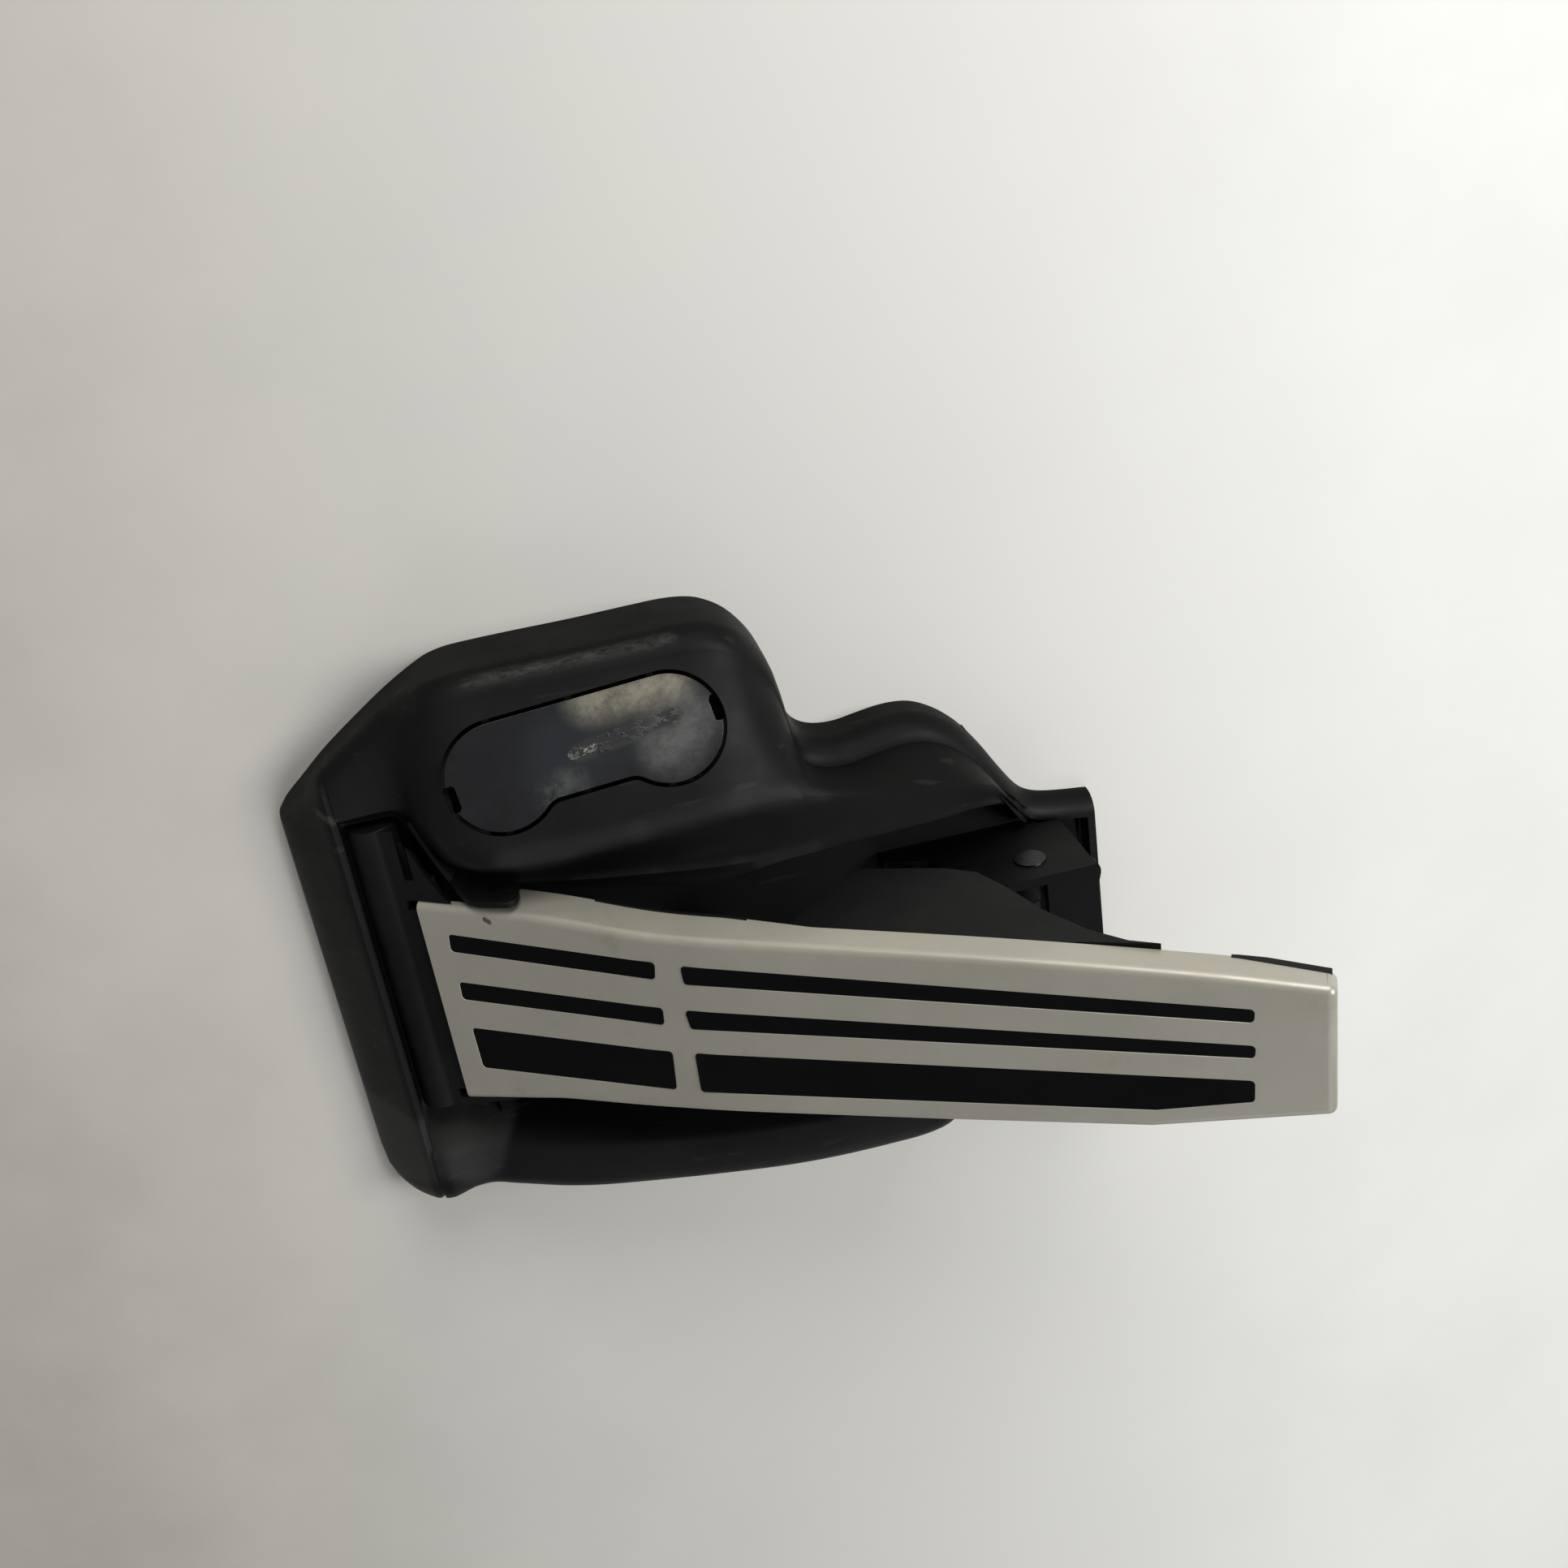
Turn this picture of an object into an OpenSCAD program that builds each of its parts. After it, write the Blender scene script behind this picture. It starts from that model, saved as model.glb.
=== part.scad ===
// Floor-mounted accelerator pedal module.
// The mounting face lies at z = 0, +X runs from the heel to the toe and +Y towards the side fairing.
// The origin is on the mounting face, under the middle of the heel hinge.

/* [Pedal plate] */
// Height of the top of the plate at its heel edge
heel_z = 22; // [21.5:0.25:23]
// Distance of the plate's heel edge from the hinge axis, along X
heel_x = 6; // [5.5:0.25:7]
// Slope of the heel part of the plate
heel_slope = 32.4; // [31.5:0.1:33]
// Slope of the toe part of the plate
toe_slope = 26.8; // [26:0.1:27.5]
// Length of the heel part, up to the bend
heel_len = 62.5; // [58:0.5:66]
// Length of the toe part, from the bend
toe_len = 142; // [132:1:146]
// Length over which the plate bends
bend_len = 35; // [20:1:44]

/* [Trim plate] */
// Thickness of the formed aluminium sheet
trim_t = 1.2; // [0.8:0.1:1.5]
// Radius of the rounded edge of the sheet
trim_r = 2; // [1.6:0.1:2.6]
// Depth of the turned-down flange in the heel part
flange_heel = 10.6; // [9:0.2:12]
// Depth of the turned-down upper edge along the toe plate
flange_mid = 8; // [7:0.2:9]
// Depth of the turned-down flange at the toe
flange_toe = 6; // [4.5:0.5:7]
// Corner radius of the slots
slot_r = 1; // [0.5:0.1:1.2]
// Play between a rubber bar and its slot
slot_play = 0.1; // [0.05:0.05:0.2]
// How far the rubber bars stay below the face of the trim plate
bar_drop = 0.2; // [0:0.1:0.6]

/* [Pedal carrier] */
// Thickness of the carrier's top wall
carrier_t = 2.6; // [2:0.1:3.2]
// Thickness of the carrier's skirts and ribs
rib_t = 1.8; // [1.2:0.1:2.4]
// Depth of the ribs below the top wall
rib_depth = 7; // [5:0.5:8]
// Thickness of the side cheek
cheek_t = 2; // [1.6:0.1:2.4]
// Depth of the side cheek below the top of the plate
cheek_depth = 37; // [30:0.5:37]
// Thickness of the rubber mat under the trim plate
mat_t = 1; // [0.8:0.1:1.4]

/* [Heel hinge] */
// Height of the hinge axis
hinge_z = 13; // [12.5:0.25:13.5]
// Radius of the hinge bead on the carrier
bead_r = 6; // [5.5:0.1:6.2]
// Radial play of the bead in its seat
bead_play = 0.06; // [0.03:0.01:0.09]
// Far end of the bead on the fairing side
bead_y1 = 46.4; // [44:0.2:46.6]
// Far end of the bead on the plain side
bead_y0 = -31.5; // [-32:0.5:-29]

/* [Base shell] */
// Wall of the moulded base
wall = 2.5; // [2:0.1:3]
// Thickness of the floor under the pedal
floor_t = 3; // [2.5:0.1:3.5]
// Thickness of the ribs under the base
base_rib_t = 1.6; // [1.2:0.1:2.2]
// Distance between the ribs under the base
base_rib_pitch = 19; // [17:0.5:20]
// Height of the ridge of the heel bar
heel_ridge = 18; // [16.5:0.5:18.5]

/* [Bolt cap] */
// Outward tilt of the cap and the land round it
cap_tilt = 20; // [18:1:22]
// Radius of the cap's round ends
cap_r = 12.7; // [11.5:0.1:13]
// Half width of the cap's waist
cap_waist = 8.4; // [6:0.1:9.5]
// Distance between the middles of the cap's round ends
cap_pitch = 39; // [36:0.5:40]
// Turn of the cap's long axis away from X
cap_turn = 4; // [2:0.5:5]
// Play round the cap
cap_play = 0.45; // [0.3:0.05:0.7]
// Thickness of the cap
cap_t = 2; // [1.6:0.1:2.6]

/* [Mounting] */
// Bore radius of the steel bushes, for an M6 bolt
bolt_r = 3.4; // [3.2:0.1:3.6]
// Outer radius of the steel bushes
bush_r = 5.5; // [5:0.1:6]
// Length of the steel bushes
bush_len = 12; // [10:0.5:13]
// Wall of the boss round a bush
boss_wall = 2.2; // [1.6:0.1:2.6]

/* [Lever and roller] */
// Place of the lever's pivot along X
pivot_x = 154; // [152:0.5:155]
// Height of the lever's pivot
pivot_z = 24; // [23:0.5:25]
// Place of the roller at rest along X
roller_x = 108; // [106:0.5:110]
// Height of the roller at rest
roller_z = 56; // [55:0.5:57]
// Turn of the lever for each degree of pedal
lever_ratio = 2.3; // [2.2:0.05:2.4]
// Full travel of the pedal
pedal_travel = 15; // [13:0.5:15]
// Radius of the roller
roller_r = 5; // [4.5:0.1:5.5]
// Width of the roller
roller_w = 8; // [6:0.5:9]
// Radius of the roller's pin
roller_pin_r = 2; // [1.5:0.1:2.4]
// Gap between the roller and its cam track
track_gap = 0.3; // [0.2:0.05:0.4]
// Radius of the lever's shaft
shaft_r = 4; // [3.5:0.1:4.5]
// Radial running play on shafts and pins
run_play = 0.05; // [0.02:0.01:0.09]
// Radius of the lever's hub
hub_r = 7; // [6.5:0.1:7.2]

/* [Mechanism housing] */
// Middle plane of the mechanism
mid_y = -12; // [-13:0.5:-11]
// Inner width of the housing
house_in = 25; // [24:0.5:26]
// Wall of the housing
house_t = 2.5; // [2:0.1:3]
// Height of the top of the housing
house_top = 33.5; // [33:0.5:34]
// Heel end of the housing
house_x0 = 120; // [118:0.5:121]
// Toe end of the housing
house_x1 = 168; // [167:0.5:169]
// Side play between the lever's hub and the housing
hub_side = 1.5; // [1:0.1:2]

/* [Return springs] */
// Outer radius of the outer spring
spring_ro = 7.5; // [7:0.1:8]
// Outer radius of the inner spring
spring_ri = 4.6; // [4:0.1:5]
// Wire diameter of the outer spring
wire_o = 1.6; // [1.2:0.1:1.8]
// Wire diameter of the inner spring
wire_i = 1.1; // [0.9:0.1:1.3]
// Turns of the outer spring
turns_o = 6; // [5:1:7]
// Turns of the inner spring
turns_i = 8; // [6:1:9]
// Distance of the springs from the lever's pivot
spring_arm = 18; // [17:0.5:19]

/* [Kickdown switch] */
// Place of the kickdown plunger along X
kick_x = 70; // [68:0.5:72]
// Place of the kickdown plunger along Y
kick_y = -16; // [-18:0.5:-15]
// Radius of the kickdown plunger
kick_r = 3.5; // [3:0.1:4]
// Travel of the kickdown plunger
kick_travel = 4; // [3:0.5:5]
// Height of the plunger's tip
kick_top = 26; // [24:0.25:27]

/* [Sensor] */
// Radius of the sensor rotor
rotor_r = 7.2; // [6.5:0.1:7.5]
// Thickness of the rotor
rotor_t = 4; // [3:0.5:5]
// Depth of the sensor cover
cover_d = 12; // [11:0.5:13]
// Wall of the sensor cover
cover_t = 1.8; // [1.4:0.1:2.2]
// Thickness of the cover's seal
seal_t = 1; // [0.8:0.1:1.4]
// Number of connector pins in each of the two rows
pins = 3; // [2:1:3]
// Distance between connector pins
pin_pitch = 2.8; // [2.5:0.1:3]
// Wall of the connector's shroud
shroud_t = 1.6; // [1.2:0.1:2]

/* [Hidden] */
$fn = 40;
eps = 0.01;

// Smooth curve through a table of [x, value] rows, flat past its ends
function tangent(tab, i) = let (n = len(tab) - 1, a = max(i - 1, 0), b = min(i + 1, n))
    (tab[b][1] - tab[a][1]) / (tab[b][0] - tab[a][0]);
function seg_of(tab, x, i = 0) = i >= len(tab) - 2 || x < tab[i + 1][0] ? i : seg_of(tab, x, i + 1);
function curve(tab, x) = let (n = len(tab) - 1)
    x <= tab[0][0] ? tab[0][1] : x >= tab[n][0] ? tab[n][1] :
    let (i = seg_of(tab, x), h = tab[i + 1][0] - tab[i][0], t = (x - tab[i][0]) / h)
    (2 * pow(t, 3) - 3 * pow(t, 2) + 1) * tab[i][1] + (pow(t, 3) - 2 * pow(t, 2) + t) * h * tangent(tab, i)
    + (3 * pow(t, 2) - 2 * pow(t, 3)) * tab[i + 1][1] + (pow(t, 3) - pow(t, 2)) * h * tangent(tab, i + 1);

// Triangles of a closed skin through rings of equal length, with flat ends
function skin_faces(rings, n) = concat(
    [for (i = [0:rings - 2]) for (j = [0:n - 1]) let (k = (j + 1) % n)
        [i * n + j, i * n + k, (i + 1) * n + k]],
    [for (i = [0:rings - 2]) for (j = [0:n - 1]) let (k = (j + 1) % n)
        [i * n + j, (i + 1) * n + k, (i + 1) * n + j]],
    [[for (j = [n - 1:-1:0]) j]], [[for (j = [0:n - 1]) (rings - 1) * n + j]]);
module skin(rings) {
    polyhedron([for (r = rings) for (p = r) p], skin_faces(len(rings), len(rings[0])));
}
function backwards(ring) = [for (i = [len(ring) - 1:-1:0]) ring[i]];

// A profile in X and Z, drawn out between two places along Y
module along_y(y0, y1) {
    translate([0, y1, 0]) rotate([90, 0, 0]) linear_extrude(y1 - y0) children();
}
module rod_y(x, z, r, y0, y1) {
    along_y(y0, y1) translate([x, z]) circle(r);
}
module rod_z(x, y, r, z0, z1) {
    translate([x, y, z0]) cylinder(r = r, h = z1 - z0);
}
module block(x0, x1, y0, y1, z0, z1) {
    translate([x0, y0, z0]) cube([x1 - x0, y1 - y0, z1 - z0]);
}
// A coil spring standing on [x, y, z0]
module coil(x, y, z0, z1, r, wire, turns) {
    steps = 10;
    sides = 6;
    rows = turns * steps;
    rise = (z1 - z0 - wire) / rows;
    skin([for (i = [0:rows]) let (a = 360 * i / steps)
        [for (j = [0:sides - 1]) let (b = 360 * j / sides, q = r - wire / 2 + wire / 2 * cos(b))
            [x + q * cos(a), y + q * sin(a), z0 + wire / 2 + i * rise + wire / 2 * sin(b)]]]);
}

// Side view of the pedal plate: a point at distance s from the heel edge, lowered by d
bend0 = heel_len - bend_len / 2;
bend_angle = heel_slope - toe_slope;
bend_r = bend_len / (bend_angle * PI / 180);
plate_len = heel_len + toe_len;
function slope_at(s) = s < bend0 ? heel_slope : s > bend0 + bend_len ? toe_slope :
    heel_slope - (s - bend0) / bend_len * bend_angle;
function on_line(p, a, s) = p + s * [cos(a), sin(a)];
function arc_from(p, a0, a1) = p + bend_r * [sin(a0) - sin(a1), cos(a1) - cos(a0)];
heel_p = [heel_x, heel_z];
arc_p = on_line(heel_p, heel_slope, bend0);
arc_q = arc_from(arc_p, heel_slope, toe_slope);
function plate(s, d = 0) = let (a = slope_at(s),
    p = s < bend0 ? on_line(heel_p, heel_slope, s) : s > bend0 + bend_len ?
        on_line(arc_q, toe_slope, s - bend0 - bend_len) : arc_from(arc_p, heel_slope, a))
    p + d * [sin(a), -cos(a)];
bend_steps = [for (i = [0:5]) bend0 + bend_len * i / 5];
// A band of the side view between two distances and two depths
function band(s0, s1, d0, d1) = let (mid = [for (s = bend_steps) if (s > s0 && s < s1) s],
    ss = concat([s0], mid, [s1]))
    concat([for (s = ss) plate(s, d0)], [for (i = [len(ss) - 1:-1:0]) plate(ss[i], d1)]);
// Frames standing on the plate: u along the slope, v across, w out of the face
module heel_frame() {
    translate([heel_x, 0, heel_z]) rotate([0, -heel_slope, 0]) children();
}
module toe_frame() {
    translate([arc_q[0], 0, arc_q[1]]) rotate([0, -toe_slope, 0])
        translate([-bend0 - bend_len, 0, 0]) children();
}

// Half widths of the plate, by distance from the heel edge
edge_up = [[0, 27.4], [30, 26.4], [60, 23.2], [95, 21.6], [140, 19.4], [180, 16.6], [204, 14]];
edge_low = [[0, 29], [28, 25.8], [60, 24.7], [125, 23.7], [167, 22.7], [204, 17.4]];
function y_up(s) = curve(edge_up, s);
function y_low(s) = lookup(s, edge_low);
// Slots of the trim plate, as corners at distance s and place y
heel_slots = [
    [[7.8, 18.7], [59.9, 15.9], [59.5, 12], [7.5, 14.9]],
    [[7.8, 6.1], [59.5, 3.7], [59.3, -0.3], [7.5, 1.4]],
    [[7.5, -7], [59.7, -8.1], [59, -18.2], [7.6, -18.2]]];
toe_slots = [
    [[66.9, 15.5], [188.4, 8.5], [188.3, 5.5], [66.8, 11]],
    [[65.9, 3.7], [188.4, -0.5], [188.3, -3.3], [66.2, -1.1]],
    [[66.3, -8], [187.9, -9.3], [187.8, -14.2], [168.8, -17.6], [65.9, -18.5]]];
module slot_shape(corners, shrink) {
    hull() for (c = corners) {
        mid = [for (k = [0, 1]) sign(corners[0][k] + corners[2][k] - 2 * c[k])];
        translate([c[0] + mid[0] * slot_r, c[1] + mid[1] * slot_r]) circle(slot_r - shrink, $fn = 16);
    }
}
module slots(w0, w1, shrink = 0) {
    heel_frame() translate([0, 0, w0]) linear_extrude(w1 - w0) for (c = heel_slots) slot_shape(c, shrink);
    toe_frame() translate([0, 0, w0]) linear_extrude(w1 - w0) for (c = toe_slots) slot_shape(c, shrink);
}

// Formed trim plate: rings of a turned-down section, swept up the plate and over the toe edge
function flange_d(s) = lookup(s, [[0, trim_r + 0.6], [21, trim_r + 1], [22.6, flange_heel], [75, flange_heel],
    [95, flange_mid], [185, flange_mid], [204, flange_toe]]);
low_flange = 6;
function trim_section(s, du, dl) = let (r = trim_r, q = r - trim_t, yu = y_up(s), yl = -y_low(s),
    c = [0, 28, 56, 82],
    out = concat([[yu, du]], [for (i = [3:-1:0]) [yu - r + r * sin(c[i]), r - r * cos(c[i])]],
        [for (i = [0:3]) [yl + r - r * sin(c[i]), r - r * cos(c[i])]], [[yl, dl]]),
    inn = concat([[yl + trim_t, dl]], [for (i = [3:-1:0]) [yl + r - q * sin(c[i]), r - q * cos(c[i])]],
        [for (i = [0:3]) [yu - r + q * sin(c[i]), r - q * cos(c[i])]], [[yu - trim_t, du]]))
    concat(out, inn);
function trim_ring(s) = let (m = plate(s, 0), n = slope_at(s), du = flange_d(s))
    [for (p = trim_section(s, du, min(low_flange, du))) [m[0] + p[1] * sin(n), p[0], m[1] - p[1] * cos(n)]];
trim_steps = concat([0, 8, 16, 21, 22.6, 32], bend_steps, [95, 110, 125, 140, 155, 170, 185]);
// Rings of the toe edge, turned down about a centre that lies trim_r under the face, then drawn down by k
toe_s = plate_len - trim_r;
function toe_ring(turn_by, k) = let (c = plate(toe_s, trim_r), a = toe_slope - turn_by,
    down = [sin(toe_slope), -cos(toe_slope)])
    [for (p = trim_section(toe_s, trim_r - 0.05, trim_r - 0.05)) let (w = p[1] - trim_r,
        q = c + w * [sin(a), -cos(a)] + k * down) [q[0], p[0], q[1]]];
module trim_plate() {
    color("silver") difference() {
        skin([for (r = concat([for (s = trim_steps) trim_ring(s)], [trim_ring(toe_s - 0.02)],
            [for (a = [0:22.5:90]) toe_ring(a, 0)], [toe_ring(90, flange_toe - trim_r)])) backwards(r)]);
        slots(-trim_t - 1, 1);
    }
}

// Carrier: a ribbed channel under the trim plate, with the hinge bead, the cheek and the cam track
carrier_top = trim_t;
mat_in = 4;
carrier_in = trim_r + 0.25;
carrier_end = plate_len - trim_r - 0.25;
under = carrier_top + carrier_t;
rib_bottom = under + rib_depth;
module plan_prism(inset, s0, s1) {
    n = 10;
    step = (s1 - s0) / n;
    pts = concat([for (i = [0:n]) let (s = s0 + i * step) [plate(s)[0], y_up(s) - inset]],
        [for (i = [n:-1:0]) let (s = s0 + i * step) [plate(s)[0], inset - y_low(s)]]);
    translate([0, 0, -20]) linear_extrude(180) polygon(pts);
}
// The wide heel end of the carrier, whose outline follows the recess of the base
wing_gap = 0.7;
wing = [[1, bead_y1], [3.5, bead_y1], [6, 44.6], [8.2, 39.6], [10, 34.4], [13, 28.8], [17.3, 24.4], [19, 20],
    [19, bead_y0 + 4], [6, bead_y0], [1, bead_y0]];
// Roller centre in the carrier's frame after the pedal has turned by t
function turn(v, a) = [v[0] * cos(a) - v[1] * sin(a), v[0] * sin(a) + v[1] * cos(a)];
pivot = [pivot_x, pivot_z];
roller_c = [roller_x, roller_z];
hinge = [0, hinge_z];
function roller_at(t) = hinge + turn(pivot + turn(roller_c - pivot, lever_ratio * t) - hinge, t);
function track_at(t) = let (v = roller_at(t + 0.1) - roller_at(t - 0.1), u = v / norm(v))
    roller_at(t) + (roller_r + track_gap) * [u[1], -u[0]];
track_steps = [for (i = [-1:13]) pedal_travel * i / 12];
cam_w = 6;
module cam_track() {
    pts = [for (t = track_steps) track_at(t)];
    last = len(track_steps) - 1;
    along_y(mid_y - cam_w / 2, mid_y + cam_w / 2)
        polygon(concat(pts, [for (x = [pts[last][0] - 2, pts[0][0]]) [x, lookup(x, cam_roof)]]));
}
cam_roof = [for (s = [60:10:180]) plate(s, under - 0.5)];
cheek_pts = [[83, 62], [86, 56.5], [105, 38.6], [110, 37.8], [127, 46], [133, 51], [137, 60], [141, 73],
    [147, 85], [153, 92.5]];
module cheek() {
    y1 = y_up(125) - trim_t - 0.3;
    along_y(y1 - cheek_t, y1) polygon(concat(cheek_pts, [for (s = [170, 150, 125]) plate(s, flange_d(s) + 0.4)],
        [plate(120, under - 1), plate(84, under - 1)]));
}
neck = [[-1, hinge_z + 3], [-1, hinge_z + bead_r - 0.4], [2, hinge_z + bead_r - 0.1], plate(0, carrier_top + 0.1),
    plate(4.2, carrier_top + 0.1), plate(4.2, under + 0.5), [4.2, hinge_z + 1.4]];
thin_neck = [[-1, hinge_z + 3], [-1, hinge_z + bead_r - 0.4], [2, hinge_z + bead_r - 0.1], [5, 20.3], [5, 17.6],
    [3, 15]];
neck_y1 = 33;
// The ribs of the two directions end a step apart, above the bottom of the skirts
rib_step = 0.6;
module carrier_body() {
    along_y(-40, 40) {
        polygon(band(3, carrier_end, carrier_top, under));
        for (s = concat([21], [for (s = [40:20:180]) s], [carrier_end - rib_t]))
            polygon(band(s, s + rib_t, under - 1, rib_bottom - rib_step));
    }
    difference() {
        along_y(-40, 40) polygon(band(21.5, carrier_end - rib_t / 2, under - 0.5, rib_bottom));
        plan_prism(carrier_in + rib_t, -20, plate_len + 20);
    }
    for (y = [-14, 8]) along_y(y, y + rib_t)
        polygon(band(22, carrier_end - rib_t / 2, under - 0.5, rib_bottom - 2 * rib_step));
}
module pedal_carrier() {
    color([0.12, 0.12, 0.13]) difference() {
        union() {
            intersection() {
                carrier_body();
                plan_prism(carrier_in, 0, plate_len);
            }
            intersection() {
                along_y(-40, 60) polygon(band(0.5, 18, carrier_top + 0.05, under + rib_step));
                translate([0, 0, -20]) linear_extrude(180) polygon(wing);
            }
            rod_y(0, hinge_z, bead_r, bead_y0, bead_y1);
            along_y(bead_y0 + 0.3, neck_y1) polygon(neck);
            along_y(neck_y1 - 1, bead_y1 - 0.3) polygon(thin_neck);
            cam_track();
            cheek();
        }
        mat_pocket();
        edge_groove();
    }
}
// Room for the rounded edge of the trim plate where the carrier is wider than the plate
module edge_groove() {
    intersection() {
        along_y(-41, bead_y1 + 1) polygon(band(-3, 21, -1, flange_d(21) + 0.15));
        difference() {
            plan_prism(-0.25, -3, 40);
            plan_prism(carrier_in + 0.2, -4, 41);
        }
    }
}
mat_s0 = 4;
mat_s1 = 193;
module mat_pocket() {
    intersection() {
        along_y(-40, 40) polygon(band(mat_s0, mat_s1, carrier_top - 1, carrier_top + mat_t));
        plan_prism(mat_in, 0, plate_len);
    }
}
module rubber_mat() {
    color([0.05, 0.05, 0.05]) union() {
        intersection() {
            along_y(-40, 40) polygon(band(mat_s0 + 0.2, mat_s1 - 0.2, carrier_top, carrier_top + mat_t));
            plan_prism(mat_in + 0.2, 0, plate_len);
        }
        slots(-carrier_top - mat_t / 2, -bar_drop, slot_play);
    }
}

// Base shell: rings of a section across Y, swept from the heel to the toe
base_x0 = -21;
base_x1 = 178;
outline_up = [[-21, 49], [-19, 51.7], [-13.6, 56.4], [-7.5, 61.6], [1.7, 68.2], [10.8, 74.2], [19.8, 79],
    [24, 80.2], [28, 80.6], [40, 80.8], [55, 80.8], [70, 81.1], [78, 81.1], [84, 80.2], [88, 78.4], [91.5, 75.8],
    [94.5, 72.2], [97, 68], [98.8, 63], [100, 57], [100.8, 51], [102.4, 46], [105, 43], [109, 41.3], [114, 40.9],
    [119, 41.6], [125, 42.4], [130, 42.4], [134, 41.6], [138, 39.6], [142, 36.6], [146, 32.4], [150.5, 26],
    [155, 18.4], [159, 12.4], [162, 10], [167, 8.4], [178, 6.8]];
outline_low = [[-21, 50], [-20.2, 56], [-18.7, 59.6], [-16, 61.6], [-13, 62.2], [-10, 61.8], [-6.5, 60.8], [-3, 59.7],
    [1, 59.1], [5, 59], [12, 59.4], [60, 59.4], [120, 59.6], [146, 58.6], [160, 56.4], [167, 54], [173, 50.4], [178, 46]];
rim_up = [[-8, 18], [9, 18], [14, 20], [20, 23.5], [28, 25], [75, 25], [88, 23.6], [97, 19], [103, 15],
    [115, 14], [135, 12.5], [150, 9], [161, 6.5], [178, 6]];
crest_up_z = [[-8, 18], [8, 18], [12, 23], [17, 31], [24, 36], [34, 37.1], [75, 36.7], [88, 33.4], [98, 27],
    [108, 21.5], [122, 18], [138, 14], [150, 10], [161, 6.5], [178, 6]];
crest_up_y = [[9, 50.5], [14, 46], [20, 42.4], [30, 40.5], [78, 40], [92, 37.6], [102, 35], [112, 31],
    [130, 29], [146, 24], [155, 16], [161, 9.4], [167, 6.4], [178, 4.6]];
pit_up = [[5, 47.4], [7, 46.2], [9, 40.6], [11, 35.2], [14, 30], [18, 27.4], [28, 25.6], [40, 23.4], [60, 20.6],
    [80, 18.4], [95, 16.6], [110, 15.2], [125, 14.5], [140, 13.6], [148, 12.2], [155, 10.5], [161, 6.6], [167, 4.2], [178, 2.4]];
lip_up = [[5, 14.4], [9, 14.4], [30, 13.6], [60, 12.6], [80, 10], [95, 7], [110, 4], [125, 3.2], [178, 3.2]];
crest_low_z = [[-8, 19], [-4, 21.5], [2, 20.5], [7, 20.8], [13, 23.4], [25, 29], [37, 33], [65, 39.5],
    [85, 42.8], [105, 43.6], [119, 42.6], [126, 38], [132, 26], [137, 12], [140.5, 7], [146, 6], [178, 6]];
heel_top = [[-21, 3], [-19.6, 5.6], [-8.6, 17.8], [-8, heel_ridge], [-7.2, heel_ridge - 0.4]];
trough_x0 = -6.6;
pit_x1 = 176;
hollow_x0 = 12;
hollow_x1 = 174;
rim_r = 6;
pit_low_y = -33;
crest_low_in = 46;
// Top line of the section at x, from the fairing's foot over the pit to the plain side's foot
function top_line(x) = let (
    heel = x < trough_x0, ht = curve(heel_top, x),
    yo = curve(outline_up, x), yn = -curve(outline_low, x),
    zr = heel ? ht : curve(rim_up, x), zc = heel ? ht : curve(crest_up_z, x),
    yc = min(curve(crest_up_y, x), yo - rim_r), yi = heel ? 30 : min(curve(pit_up, x), yc - 0.5),
    zi = heel ? ht : x > pit_x1 ? zr : curve(lip_up, x), zf = heel ? ht : x > pit_x1 ? zr : floor_t,
    zn = heel ? ht * (1 + 0.05 * (x - base_x0) / 14) : curve(crest_low_z, x),
    r = min(rim_r, zr - 1), rn = min(rim_r, zn - 1), yl = max(-crest_low_in, yn + rim_r + 1),
    arcs = [0, 22.5, 45, 67.5])
    concat([[yo, 0]],
        [for (a = arcs) [yo - r + r * cos(a), zr - r + r * sin(a)]],
        [for (t = [0, 1 / 3, 2 / 3]) [yo - r + t * (yc - yo + r), zr + t * (zc - zr)]],
        [for (k = [0:5]) [yc + (yi - yc) * k / 6, zi + (zc - zi) * (1 + cos(30 * k)) / 2]],
        [[yi, zi], [yi - 0.6, zf], [(yi + pit_low_y) / 2, zf], [pit_low_y + 0.6, zf]],
        [for (k = [0:4]) [pit_low_y + (yl - pit_low_y) * k / 5, zf + (zn - zf) * (1 - cos(36 * k)) / 2 + eps]],
        [[yl, zn], [yn + rn, zn]],
        [for (a = [67.5, 45, 22.5, 0]) [yn + rn - rn * cos(a), zn - rn + rn * sin(a)]],
        [[yn, 0]]);
// The same line moved inwards by d, brought down to the mounting face under the pit
function inner_line(line, d, open) = let (n = len(line) - 1, y0 = line[0][0] - d, y1 = line[n][0] + d)
    [for (j = [0:n]) let (a = line[max(j - 1, 0)], b = line[min(j + 1, n)], u = (b - a) / norm(b - a),
        edge = j == 0 || j == n,
        q = edge ? [j == 0 ? y0 : y1, 0] : line[j] + d * [-u[1], u[0]])
        !open ? [y0 + (y1 - y0) * j / n, 0] : q[1] >= floor_t || edge ? q :
        [max(min(q[0], y0 - 0.02 * j), y1 + 0.02 * (n - j)), 0]];
function thin_out(line) = let (n = len(line) - 1) [for (j = [n:-1:0]) if (j % 2 == n % 2 || j == 0) line[j]];
function base_ring(x) = let (top = top_line(x), low = inner_line(top, wall, x > hollow_x0 && x < hollow_x1))
    [for (p = concat(top, thin_out(low))) [x, p[0], p[1]]];
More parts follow.
